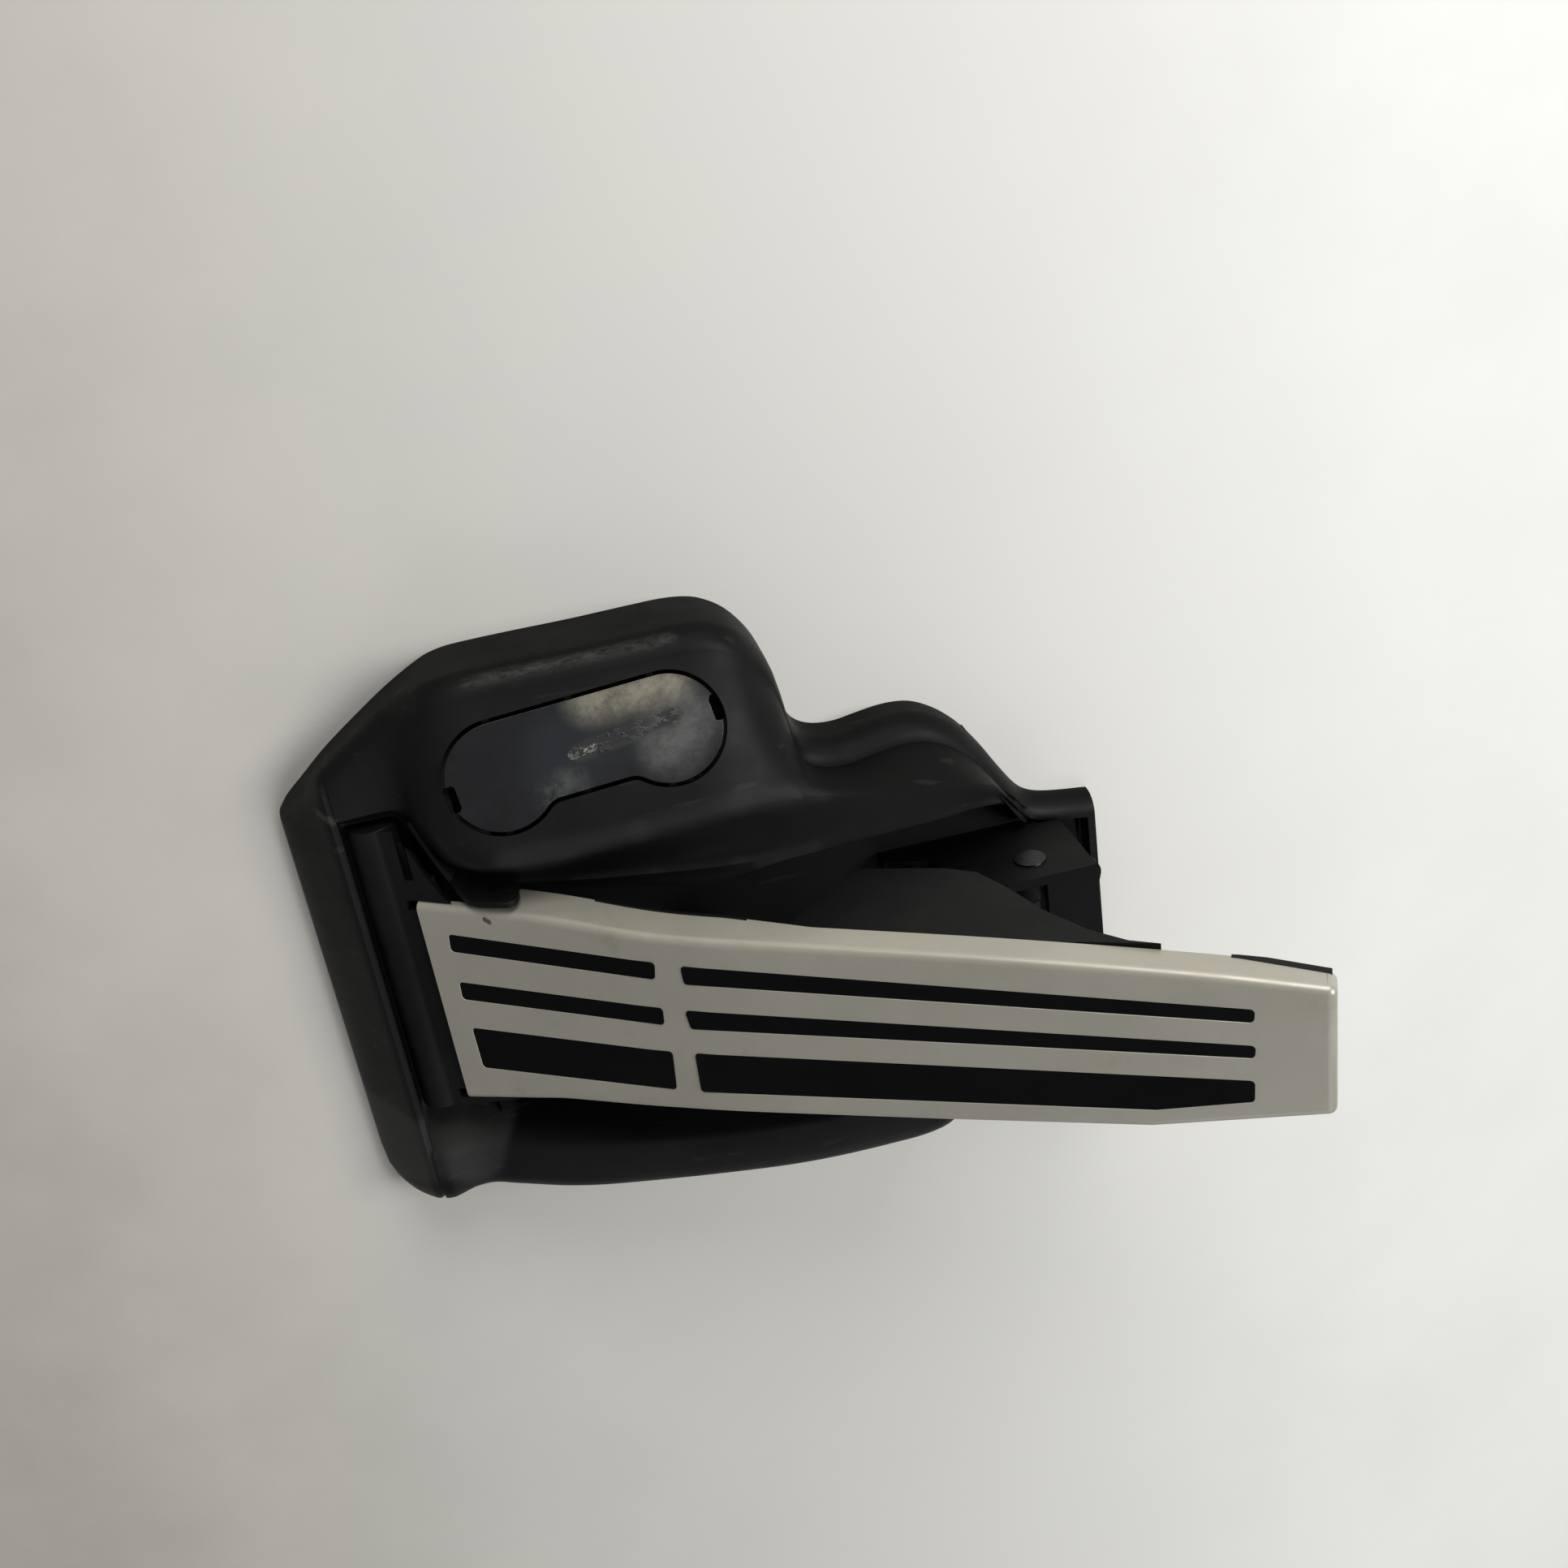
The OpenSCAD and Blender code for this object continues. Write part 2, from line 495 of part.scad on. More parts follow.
base_steps = [-21, -20.2, -18.7, -16, -13, -10, -8, -7.2, -6.61, -6.59, -3, 1, 5, 7, 9, 11, 12, 12.01, 14.5, 17.5,
    21, 26, 31, 41, 50, 60, 69, 78, 84, 88, 91.5, 94.5, 97, 99, 101, 103.5, 107, 113, 120, 126, 132, 138, 142, 146,
    150.5, 155, 159, 164, 173.99, 174.01, 176.01, 178];
module base_ribs() {
    for (x = [hollow_x0 + base_rib_pitch:base_rib_pitch:hollow_x1 - 12]) {
        line = inner_line(top_line(x), wall * 0.8, true);
        for (side = [-1, 1]) intersection() {
            translate([x, 0, 0]) rotate([90, 0, 90]) linear_extrude(base_rib_t) polygon(line);
            block(x - 5, x + 5, side > 0 ? -5 : -80, side > 0 ? 100 : 5, 0, 60);
        }
    }
}

// The land, the recess and the bosses of the bolt cap
cap_mid = [52, 59.4];
cap_land = 30.2;
module cap_frame() {
    translate([cap_mid[0], cap_mid[1], cap_land]) rotate([-cap_tilt, 0, 0]) rotate([0, 0, cap_turn]) children();
}
cap_fillet = 5;
module cap_shape(grow) {
    r = cap_r + grow;
    w = cap_waist + grow;
    f = cap_fillet - grow;
    run = sqrt(pow(r + f, 2) - pow(w + f, 2));
    for (e = [0, 1]) mirror([e, 0]) {
        translate([cap_pitch / 2, 0]) circle(r);
        difference() {
            translate([cap_pitch / 2 - run, -w - f]) square([run, f + 1]);
            translate([cap_pitch / 2 - run, -w - f]) circle(f);
            translate([cap_pitch / 2, -w - f - r]) square([r, f + r]);
        }
    }
    translate([-cap_pitch / 2, -w]) square([cap_pitch, w + r]);
}
bolt_x = [cap_mid[0] - cap_pitch / 2, cap_mid[0] + cap_pitch / 2];
bolt_y = [cap_mid[1] - 1.4, cap_mid[1] + 1.4];
ear_x = 150;
ear_y = -48;
bolts = [[bolt_x[0], bolt_y[0]], [bolt_x[1], bolt_y[1]], [ear_x, ear_y]];
boss_r = bush_r + boss_wall;
screws = [[124.5, mid_y + 8.3], [124.5, mid_y - 8.3], [172.5, mid_y]];
draft = 0.4;
seat_x0 = -8;
seat_x1 = 7.6;
module hinge_seat() {
    along_y(pit_low_y - 1, 49) difference() {
        translate([seat_x0, 0.5]) square([seat_x1 - seat_x0, hinge_z - 0.5]);
        translate([0, hinge_z]) circle(bead_r + bead_play);
        translate([2, hinge_z - 4]) square([8, 8]);
    }
}
// Radius of a hole in the shell whose flats just clear a rod of radius r
function flats_clear(r) = r / cos(180 / $fn) + 0.01;
// Top of the bosses under the bolt cap, inside the wall of the land
boss_top = cap_land - wall - boss_wall;
module drafted_boss(at, r, z0, z1) {
    hull() {
        rod_z(at[0], at[1], r + draft, z0, z0 + 1);
        rod_z(at[0], at[1], r, z1 - 1, z1);
    }
}
module base_shell() {
    color([0.13, 0.13, 0.14]) difference() {
        union() {
            skin([for (x = base_steps) backwards(base_ring(x))]);
            base_ribs();
            hinge_seat();
            for (b = bolts) drafted_boss(b, boss_r, 0, b[1] > 0 ? boss_top : bush_len + 2);
            for (s = screws) drafted_boss(s, 3.2, 0.5, 9);
            for (y = [-2, 2]) drafted_boss([kick_x, kick_y + y], kick_r + 4, 0.5, 6);
        }
        cap_frame() translate([0, 0, -cap_t - 0.6]) linear_extrude(20) cap_shape(cap_play);
        for (b = bolts) rod_z(b[0], b[1], flats_clear(bush_r), -1, 40);
        for (s = screws) rod_z(s[0], s[1], 1.5, 2, 10);
        rod_z(kick_x, kick_y, flats_clear(sleeve_r), 3, 8);
    }
}
module mount_bushes() {
    color([0.7, 0.7, 0.68]) for (b = bolts) difference() {
        rod_z(b[0], b[1], bush_r, 0, bush_len);
        rod_z(b[0], b[1], bolt_r, -1, bush_len + 1);
    }
}
module bolt_cap() {
    color([0.09, 0.1, 0.11]) cap_frame() translate([0, 0, -cap_t - 0.3]) linear_extrude(cap_t) cap_shape(0);
}

// Mechanism housing with the bearings of the lever's shaft
house_y0 = mid_y - house_in / 2;
house_y1 = mid_y + house_in / 2;
house_side = [[house_x0, floor_t], [house_x1, floor_t], [house_x1, house_top], [pivot_x - 9, house_top],
    [pivot_x - 13, house_top - 3], [house_x0 + 11, 13], [house_x0, 9]];
spring_x = pivot_x - spring_arm;
seat_z = floor_t + 3.5;
module mechanism_housing() {
    color([0.16, 0.16, 0.17]) difference() {
        union() {
            along_y(house_y0 - house_t, house_y0) polygon(house_side);
            along_y(house_y1, house_y1 + house_t) polygon(house_side);
            block(house_x0, house_x1, house_y0 - 1, house_y1 + 1, floor_t, floor_t + 2);
            block(house_x1 - house_t, house_x1, house_y0 - 1, house_y1 + 1, floor_t, house_top);
            block(pivot_x + 1, house_x1, house_y0 - 1, house_y1 + 1, house_top - 1.5, house_top);
            for (y = [house_y0 - house_t, house_y1]) rod_y(pivot_x, pivot_z, shaft_r + 2.5, y, y + house_t);
            rod_z(spring_x, mid_y, spring_ro + 2, floor_t, seat_z);
            for (s = screws) rod_z(s[0], s[1], 4, 9, 12);
            block(screws[0][0] - 4, screws[0][0] + 4, screws[0][1], house_y1 + 1, 9, 12);
            block(screws[1][0] - 4, screws[1][0] + 4, house_y0 - 1, screws[1][1], 9, 12);
            block(house_x1 - 1, screws[2][0], screws[2][1] - 4, screws[2][1] + 4, 9, 12);
        }
        rod_y(pivot_x, pivot_z, shaft_r + run_play, -60, 60);
        for (s = screws) rod_z(s[0], s[1], 1.8, 8, 13);
        for (s = screws) rod_z(s[0], s[1], 3.9, 2, 9);
        rod_z(spring_x, mid_y, spring_ro + 0.6, seat_z - 2, seat_z + 1);
        for (c = cover_holes) rod_y(c[0], c[1], 1.32, house_y0 - house_t - 1, house_y0 - 0.3);
        block(house_x1 - 6, house_x1 + 1, house_y1 + house_t / 3, house_y1 + house_t + 1, 0, 2 * floor_t + 0.6);
    }
}
module screw(d, head_r, len) {
    cylinder(r = head_r, h = head_r * 0.7);
    translate([0, 0, -len]) cylinder(r = d / 2, h = len);
}
module housing_screws() {
    color([0.55, 0.55, 0.53]) for (s = screws) translate([s[0], s[1], 12]) difference() {
        screw(2.9, 3, 9);
        translate([0, 0, 1]) cylinder(r = 1.2, h = 3, $fn = 6);
    }
}

// Lever with its roller fork, spring pad and rest tail
hub_y0 = house_y0 + hub_side;
hub_y1 = house_y1 - hub_side;
arm_v = (roller_c - pivot) / norm(roller_c - pivot);
arm_n = [arm_v[1], -arm_v[0]];
fork_out = roller_w / 2 + 3.4;
fork_in = roller_w / 2 + 0.4;
arm_len = norm(roller_c - pivot);
function on_arm(u, v) = pivot + u * arm_v + v * arm_n;
module lever() {
    color([0.2, 0.2, 0.21]) difference() {
        union() {
            rod_y(pivot_x, pivot_z, hub_r, hub_y0, hub_y1);
            along_y(mid_y - fork_out, mid_y + fork_out) polygon([on_arm(0, -hub_r + 1), on_arm(arm_len, -4),
                on_arm(arm_len, 4), on_arm(0, hub_r - 1)]);
            rod_y(roller_x, roller_z, 4, mid_y - fork_out, mid_y + fork_out);
            along_y(mid_y - spring_ro, mid_y + spring_ro) polygon([on_arm(2, 0), on_arm(26, 0),
                [spring_x - spring_ro, spring_top], [spring_x + spring_ro, spring_top], on_arm(2, -3)]);
            along_y(mid_y - 5, mid_y + 5) polygon([on_arm(0, -4), on_arm(tail, -3), on_arm(tail, 3),
                on_arm(0, 4)]);
        }
        rod_z(spring_x, mid_y, spring_ro + 0.8, 0, spring_top);
        rod_y(pivot_x, pivot_z, shaft_r, -60, 60);
        rod_y(roller_x, roller_z, roller_pin_r, -60, 60);
        along_y(mid_y - fork_in, mid_y + fork_in) translate(on_arm(arm_len, 0)) circle(roller_r + 1.2);
    }
}
spring_top = 28;
tail = -9.5;
module lever_shaft() {
    color([0.75, 0.75, 0.76]) rod_y(pivot_x, pivot_z, shaft_r, rotor_y0 - 0.5, house_y1 + house_t + 0.5);
}
module roller() {
    color([0.85, 0.83, 0.75]) difference() {
        rod_y(roller_x, roller_z, roller_r, mid_y - roller_w / 2, mid_y + roller_w / 2);
        rod_y(roller_x, roller_z, roller_pin_r + run_play, -60, 60);
    }
}
module roller_pin() {
    color([0.75, 0.75, 0.76]) rod_y(roller_x, roller_z, roller_pin_r, mid_y - fork_out - 0.5, mid_y + fork_out + 0.5);
}
module return_spring_outer() {
    color([0.6, 0.62, 0.65]) coil(spring_x, mid_y, seat_z + 0.2, spring_top - 0.2, spring_ro, wire_o, turns_o);
}
module return_spring_inner() {
    color([0.6, 0.62, 0.65]) coil(spring_x, mid_y, seat_z + 0.2, spring_top - 0.2, spring_ri, wire_i, turns_i);
}
module spring_seat() {
    color([0.85, 0.83, 0.75]) union() {
        rod_z(spring_x, mid_y, spring_ro + 0.4, seat_z - 2, seat_z);
        rod_z(spring_x, mid_y, spring_ri - wire_i - 0.4, seat_z - 1, seat_z + 5);
    }
}
module friction_shoe() {
    color([0.35, 0.3, 0.2]) along_y(hub_y0 + 1, mid_y - spring_ro - 1) difference() {
        translate(pivot) circle(hub_r + 3);
        translate(pivot) circle(hub_r + 0.1);
        translate([pivot_x - 30, pivot_z - 2]) square([60, 30]);
        translate([pivot_x - 30, pivot_z - 30]) square([24, 60]);
        translate([pivot_x + 6, pivot_z - 30]) square([24, 60]);
    }
}
module rest_bumper() {
    color([0.1, 0.1, 0.1]) rod_z(pivot_x + 7, mid_y, 3, floor_t + 2, 15.8);
}

// Contactless angle sensor on the shaft's end, behind its cover
rotor_y0 = house_y0 - house_t - 1.5 - rotor_t;
cover_y1 = house_y0 - house_t - seal_t;
cover_y0 = cover_y1 - cover_d;
cover_x0 = pivot_x - 13;
cover_x1 = house_x1 - 0.5;
cover_z0 = 9;
cover_z1 = house_top;
cover_holes = [[cover_x0 + 2.6, cover_z0 + 2.6], [cover_x1 - 2.6, cover_z0 + 2.6], [cover_x1 - 2.6, cover_z1 - 2.6],
    [cover_x0 + 2.6, cover_z1 - 2.6]];
module frame_shape(inset) {
    translate([cover_x0 + inset, cover_z0 + inset])
        square([cover_x1 - cover_x0 - 2 * inset, cover_z1 - cover_z0 - 2 * inset]);
}
module sensor_rotor() {
    color([0.3, 0.3, 0.32]) difference() {
        rod_y(pivot_x, pivot_z, rotor_r, rotor_y0, rotor_y0 + rotor_t);
        rod_y(pivot_x, pivot_z, shaft_r, -60, 60);
        magnet_ring(0.02);
    }
}
module magnet_ring(grow) {
    along_y(rotor_y0 - 1, rotor_y0 + rotor_t / 2) translate(pivot) difference() {
        circle(rotor_r - 1);
        circle(rotor_r - 2.4);
    }
}
module rotor_magnet() {
    color([0.35, 0.35, 0.36]) along_y(rotor_y0, rotor_y0 + rotor_t / 2) translate(pivot) difference() {
        circle(rotor_r - 1);
        circle(rotor_r - 2.4);
    }
}
board_y = cover_y0 + cover_t + 1;
module sensor_board() {
    color([0.05, 0.35, 0.15]) union() {
        along_y(board_y, board_y + 1.2) translate([pivot_x, pivot_z]) square([13, 14], center = true);
        along_y(board_y + 1.2 - eps, board_y + 2.2) translate([pivot_x, pivot_z]) square([6, 5], center = true);
    }
}
plug_y = cover_y0 - 7;
plug_z = 21.25;
plug_half_z = pins * pin_pitch / 2 + 1.6;
plug_half_y = 4.9;
plug_x0 = cover_x1 - 8;
plug_x1 = 180;
module sensor_cover() {
    color([0.11, 0.11, 0.12]) difference() {
        union() {
            along_y(cover_y0, cover_y1) frame_shape(0);
            block(plug_x0, plug_x1, plug_y - plug_half_y - shroud_t, plug_y + plug_half_y + shroud_t,
                plug_z - plug_half_z - shroud_t, plug_z + plug_half_z + shroud_t);
            block(plug_x0, cover_x1, plug_y, cover_y0 + 1, plug_z - plug_half_z, plug_z + plug_half_z);
        }
        difference() {
            along_y(cover_y0 + cover_t, cover_y1 + 1) frame_shape(cover_t);
            for (c = cover_holes) rod_y(c[0], c[1], 3, cover_y0, cover_y1);
        }
        for (c = cover_holes) rod_y(c[0], c[1], 1.4, -60, 0);
        block(plug_x0 + 3, plug_x1 + 1, plug_y - plug_half_y, plug_y + plug_half_y,
            plug_z - plug_half_z, plug_z + plug_half_z);
    }
}
module cover_seal() {
    color([0.5, 0.2, 0.1]) along_y(cover_y1, cover_y1 + seal_t) difference() {
        frame_shape(0);
        frame_shape(cover_t + 1);
        for (c = cover_holes) translate(c) circle(1.5);
    }
}
module cover_screws() {
    color([0.55, 0.55, 0.53]) for (c = cover_holes) translate([c[0], cover_y0, c[1]]) rotate([90, 0, 0]) difference() {
        screw(2.6, 2.2, cover_d + seal_t + 2);
        translate([0, 0, 0.8]) cylinder(r = 1, h = 3, $fn = 6);
    }
}
module connector_pins() {
    color([0.8, 0.7, 0.3]) for (i = [0:pins - 1]) for (j = [-1, 1])
        translate([0, plug_y + j * pin_pitch / 2, plug_z + (i - (pins - 1) / 2) * pin_pitch])
            block(plug_x0 + 3, plug_x0 + 12, -0.4, 0.4, -0.4, 0.4);
}

// Kickdown switch on the floor, met by the carrier at the end of its travel
sleeve_r = kick_r + 2.4;
sleeve_top = 17;
module kickdown_sleeve() {
    color([0.8, 0.8, 0.78]) difference() {
        rod_z(kick_x, kick_y, sleeve_r, 3, sleeve_top);
        rod_z(kick_x, kick_y, kick_r + 1, 4.5, sleeve_top - 1.5);
        rod_z(kick_x, kick_y, kick_r - 0.8 + run_play, 4, sleeve_top + 1);
    }
}
module kickdown_plunger() {
    color([0.25, 0.25, 0.26]) union() {
        rod_z(kick_x, kick_y, kick_r - 0.8, 12, kick_top - 1);
        rod_z(kick_x, kick_y, kick_r + 0.7, sleeve_top - 4.3, sleeve_top - 1.8);
        rod_z(kick_x, kick_y, kick_r, kick_top - 2, kick_top);
    }
}
module kickdown_spring() {
    color([0.6, 0.62, 0.65]) coil(kick_x, kick_y, 4.7, sleeve_top - 4.5, kick_r + 0.3, 0.8, 4);
}

base_shell();
mount_bushes();
bolt_cap();
pedal_carrier();
rubber_mat();
trim_plate();
mechanism_housing();
housing_screws();
lever();
lever_shaft();
roller();
roller_pin();
return_spring_outer();
return_spring_inner();
spring_seat();
friction_shoe();
rest_bumper();
sensor_rotor();
rotor_magnet();
sensor_board();
sensor_cover();
cover_seal();
cover_screws();
connector_pins();
kickdown_sleeve();
kickdown_plunger();
kickdown_spring();
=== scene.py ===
import math
import random

import bmesh
import bpy
from mathutils import Matrix, Vector


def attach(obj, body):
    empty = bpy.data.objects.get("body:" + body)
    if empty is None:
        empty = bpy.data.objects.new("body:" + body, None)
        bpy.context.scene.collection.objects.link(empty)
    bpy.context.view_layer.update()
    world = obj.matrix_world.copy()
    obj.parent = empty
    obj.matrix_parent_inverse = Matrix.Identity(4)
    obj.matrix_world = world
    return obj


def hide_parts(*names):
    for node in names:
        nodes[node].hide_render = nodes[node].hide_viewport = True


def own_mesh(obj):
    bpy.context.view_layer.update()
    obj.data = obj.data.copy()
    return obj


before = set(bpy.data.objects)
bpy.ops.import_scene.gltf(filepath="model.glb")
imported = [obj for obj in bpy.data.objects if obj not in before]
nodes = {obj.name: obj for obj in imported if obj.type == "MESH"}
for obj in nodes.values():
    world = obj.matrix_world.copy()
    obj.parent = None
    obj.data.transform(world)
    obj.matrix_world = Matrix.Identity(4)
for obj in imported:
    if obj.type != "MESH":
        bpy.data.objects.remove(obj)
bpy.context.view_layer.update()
MM = 0.001
random.seed(7)

# Camera, light and floor
CAM_PLACE = (48.89, 207.43, 375.04)
CAM_RIGHT, CAM_UP = Vector((0.9693, -0.1439, 0.1995)), Vector((0.2147, 0.8907, -0.4008))
CAM_AHEAD = Vector((0.12, -0.4313, -0.8943))
CAM_LENS, CAM_SENSOR = 38.2, 36
WARM, COOL = (1.0, 0.99, 0.97), (0.97, 0.98, 1.0)
SKY, SKY_STRENGTH = (0.93, 0.95, 0.97, 1), 0.24

scene = bpy.context.scene
cam_data = bpy.data.cameras.new("camera")
cam = bpy.data.objects.new("camera", cam_data)
scene.collection.objects.link(cam)
turn = Matrix((CAM_RIGHT, CAM_UP, -CAM_AHEAD)).transposed().to_4x4()
cam.matrix_world = Matrix.Translation(Vector(CAM_PLACE) * MM) @ turn
cam_data.sensor_width = CAM_SENSOR
cam_data.lens = CAM_LENS
cam_data.clip_start = 0.01
cam_data.clip_end = 20
scene.camera = cam
scene.view_settings.view_transform = "Standard"


def area_light(name, place, target, size, power, color):
    """A round area light at a place, aimed at a target; both in metres."""
    data = bpy.data.lights.new(name, "AREA")
    data.shape = "DISK"
    data.size = size
    data.energy = power
    data.color = color
    obj = bpy.data.objects.new(name, data)
    scene.collection.objects.link(obj)
    aim = (Vector(target) - Vector(place)).to_track_quat("-Z", "Y")
    obj.matrix_world = Matrix.Translation(Vector(place)) @ aim.to_matrix().to_4x4()


area_light("key", (1.1, 0.25, 1.2), (0.08, 0.0, 0.0), 0.8, 17, WARM)
area_light("top", (0.25, 1.35, 0.7), (0.08, 0.02, 0.03), 0.9, 14, WARM)
area_light("fill", (0.2, -1.2, 0.8), (0.08, 0.0, 0.02), 1.2, 3.5, COOL)
world = bpy.data.worlds.new("studio")
world.use_nodes = True
world.node_tree.nodes["Background"].inputs[0].default_value = SKY
world.node_tree.nodes["Background"].inputs[1].default_value = SKY_STRENGTH
scene.world = world


# Material helpers
class Tree:
    def __init__(self, name):
        self.mat = bpy.data.materials.new(name)
        self.mat.use_nodes = True
        self.nodes = self.mat.node_tree.nodes
        self.links = self.mat.node_tree.links
        self.shader = self.nodes["Principled BSDF"]
        self.place = self.add("ShaderNodeTexCoord").outputs["Object"]

    def add(self, kind, settings=None, **inputs):
        """A node with its settings; inputs are given by name, or as i0, i1 and so on."""
        n = self.nodes.new(kind)
        for k, v in (settings or {}).items():
            setattr(n, k, v)
        for k, v in inputs.items():
            by_index = k[0] == "i" and k[1:].isdigit()
            self.put(n.inputs[int(k[1:]) if by_index else k.replace("_", " ")], v)
        return n

    def put(self, socket, value):
        if isinstance(value, bpy.types.NodeSocket):
            self.links.new(value, socket)
        else:
            socket.default_value = value

    def noise(self, scale, detail=4.0, rough=0.55, stretch=None):
        p = self.place
        if stretch:
            m = self.add("ShaderNodeMapping")
            self.links.new(p, m.inputs["Vector"])
            m.inputs["Scale"].default_value = stretch
            p = m.outputs["Vector"]
        n = self.add("ShaderNodeTexNoise", Scale=scale, Detail=detail, Roughness=rough, Vector=p)
        return n.outputs["Fac"]

    def voronoi(self, scale):
        n = self.add("ShaderNodeTexVoronoi", Scale=scale, Vector=self.place)
        return n.outputs["Distance"]

    def remap(self, value, a, b, c=0.0, d=1.0):
        n = self.add("ShaderNodeMapRange", i0=value, i1=a, i2=b, i3=c, i4=d)
        return n.outputs["Result"]

    def math(self, op, a, b=0.0):
        n = self.add("ShaderNodeMath", {"operation": op}, i0=a, i1=b)
        return n.outputs["Value"]

    def vec(self, op, a, b=(0, 0, 0), out=0):
        n = self.add("ShaderNodeVectorMath", {"operation": op}, i0=a, i1=b)
        return n.outputs["Value" if out else "Vector"]

    def mix(self, fac, a, b):
        n = self.add("ShaderNodeMix", {"data_type": "RGBA"})
        self.put(n.inputs[0], fac)
        self.put(n.inputs[6], a)
        self.put(n.inputs[7], b)
        return n.outputs[2]

    def near(self, p0, p1, r0, r1):
        """1 within r0 of the line from p0 to p1, 0 beyond r1, in millimetres."""
        a, b = Vector(p0) * MM, Vector(p1) * MM
        d = b - a
        rel = self.vec("SUBTRACT", self.place, tuple(a))
        along = self.vec("DOT_PRODUCT", rel, tuple(d), 1)
        t = self.math("DIVIDE", along, max(d.length_squared, 1e-12))
        t = self.add("ShaderNodeClamp", i0=t).outputs[0]
        s = self.add("ShaderNodeVectorMath", {"operation": "SCALE"})
        s.inputs[0].default_value = tuple(d)
        self.links.new(t, s.inputs["Scale"])
        gap = self.vec("LENGTH", self.vec("SUBTRACT", rel, s.outputs["Vector"]), out=1)
        n = self.add("ShaderNodeMapRange", {"interpolation_type": "SMOOTHSTEP"},
                     i0=gap, i1=r0 * MM, i2=r1 * MM, i3=1.0, i4=0.0)
        return n.outputs["Result"]

    def facing(self, direction, a, b):
        """0 to 1 as the surface turns from a to b towards a direction of the part's frame."""
        normal = self.add("ShaderNodeNewGeometry").outputs["Normal"]
        return self.remap(self.vec("DOT_PRODUCT", normal, direction, 1), a, b)

    def bump(self, height, strength, distance, under=None):
        n = self.add("ShaderNodeBump", Strength=strength, Distance=distance, Height=height)
        if under is not None:
            self.links.new(under, n.inputs["Normal"])
        return n.outputs["Normal"]

    def set(self, color, rough, normal=None, **plain):
        self.put(self.shader.inputs["Base Color"], color)
        self.put(self.shader.inputs["Roughness"], rough)
        if normal is not None:
            self.links.new(normal, self.shader.inputs["Normal"])
        for k, v in plain.items():
            self.shader.inputs[k.replace("_", " ")].default_value = v
        return self.mat


def rgb(code):
    """A colour as seen on screen (six hex digits) in the linear values that a shader takes."""
    v = [int(code[i:i + 2], 16) / 255 for i in (0, 2, 4)]
    return tuple(c / 12.92 if c <= 0.04045 else ((c + 0.055) / 1.055) ** 2.4 for c in v) + (1.0,)


def plastic(name, dark, light, rough=0.5, grain=2600, dust=0.25, extra=None, gloss=0.2):
    """Moulded plastic: two shades in clouds, dust, pale specks and a fine grain."""
    t = Tree(name)
    cloud = t.remap(t.noise(28, 5, 0.6), 0.35, 0.7)
    fine = t.noise(grain, 2, 0.5)
    specks = t.remap(t.voronoi(420), 0.035, 0.02)
    color = t.mix(cloud, rgb(dark), rgb(light))
    film = t.remap(t.noise(9, 6, 0.7), 0.5, 0.85)
    color = t.mix(t.math("MULTIPLY", film, dust), color, rgb("3a3936"))
    color = t.mix(t.math("MULTIPLY", specks, 0.35 * dust), color, rgb("b8b5aa"))
    r = t.remap(t.noise(60, 4, 0.6), 0.3, 0.7, rough - 0.07, rough + 0.07)
    normal = t.bump(fine, 0.35, 0.00003)
    if extra:
        color, r, normal = extra(t, color, r, normal)
    return t.set(color, r, normal, Specular_IOR_Level=gloss)


def metal(name, light, dark, rough=0.32, stretch=(1, 1, 1), scale=300, metallic=1.0):
    """Metal with streaks or mottling and a thin brown film."""
    t = Tree(name)
    n = t.noise(scale, 5, 0.6, stretch)
    color = t.mix(t.remap(n, 0.3, 0.7), rgb(dark), rgb(light))
    film = t.remap(t.noise(40, 6, 0.7), 0.55, 0.8)
    color = t.mix(t.math("MULTIPLY", film, 0.3), color, rgb("5a4c3a"))
    r = t.remap(t.noise(140, 4, 0.6), 0.3, 0.7, rough - 0.06, rough + 0.1)
    return t.set(color, r, t.bump(n, 0.2, 0.00003), Metallic=metallic)


# Mesh helpers
def new_object(name, verts, faces):
    """A mesh object from points in millimetres, with its faces turned outwards."""
    mesh = bpy.data.meshes.new(name)
    mesh.from_pydata([tuple(c * MM for c in v) for v in verts], [], faces)
    bm = bmesh.new()
    bm.from_mesh(mesh)
    bmesh.ops.recalc_face_normals(bm, faces=bm.faces)
    bm.to_mesh(mesh)
    bm.free()
    obj = bpy.data.objects.new(name, mesh)
    scene.collection.objects.link(obj)
    return obj


def loft(name, rings):
    """A skin over rings of points with a face at each end."""
    n, m = len(rings[0]), len(rings)
    verts = [p for r in rings for p in r]
    faces = []
    for i in range(m - 1):
        for j in range(n):
            k = (j + 1) % n
            faces.append((i * n + j, i * n + k, (i + 1) * n + k, (i + 1) * n + j))
    faces.append(tuple(range(n)))
    faces.append(tuple(range((m - 1) * n, m * n)))
    return new_object(name, verts, faces)


def prism(name, outline, z0, z1, place=Matrix.Identity(4)):
    """A flat outline drawn out from z0 to z1, then set in place (millimetres)."""
    return loft(name, [[tuple(place @ Vector((x, y, z))) for x, y in outline] for z in (z0, z1)])


def ring_of(x, y, r, n=48, a0=0.0, a1=360.0):
    """Points on a circle, or on an arc from a0 to a1 with both its ends."""
    turns = [math.radians(a0 + (a1 - a0) * i / n) for i in range(n + (a1 - a0 < 359))]
    return [(x + r * math.cos(a), y + r * math.sin(a)) for a in turns]


def along_y(name, outline, y0, y1):
    """An outline in X and Z, drawn out between two places along Y."""
    return loft(name, [[(x, y, z) for x, z in outline] for y in (y0, y1)])


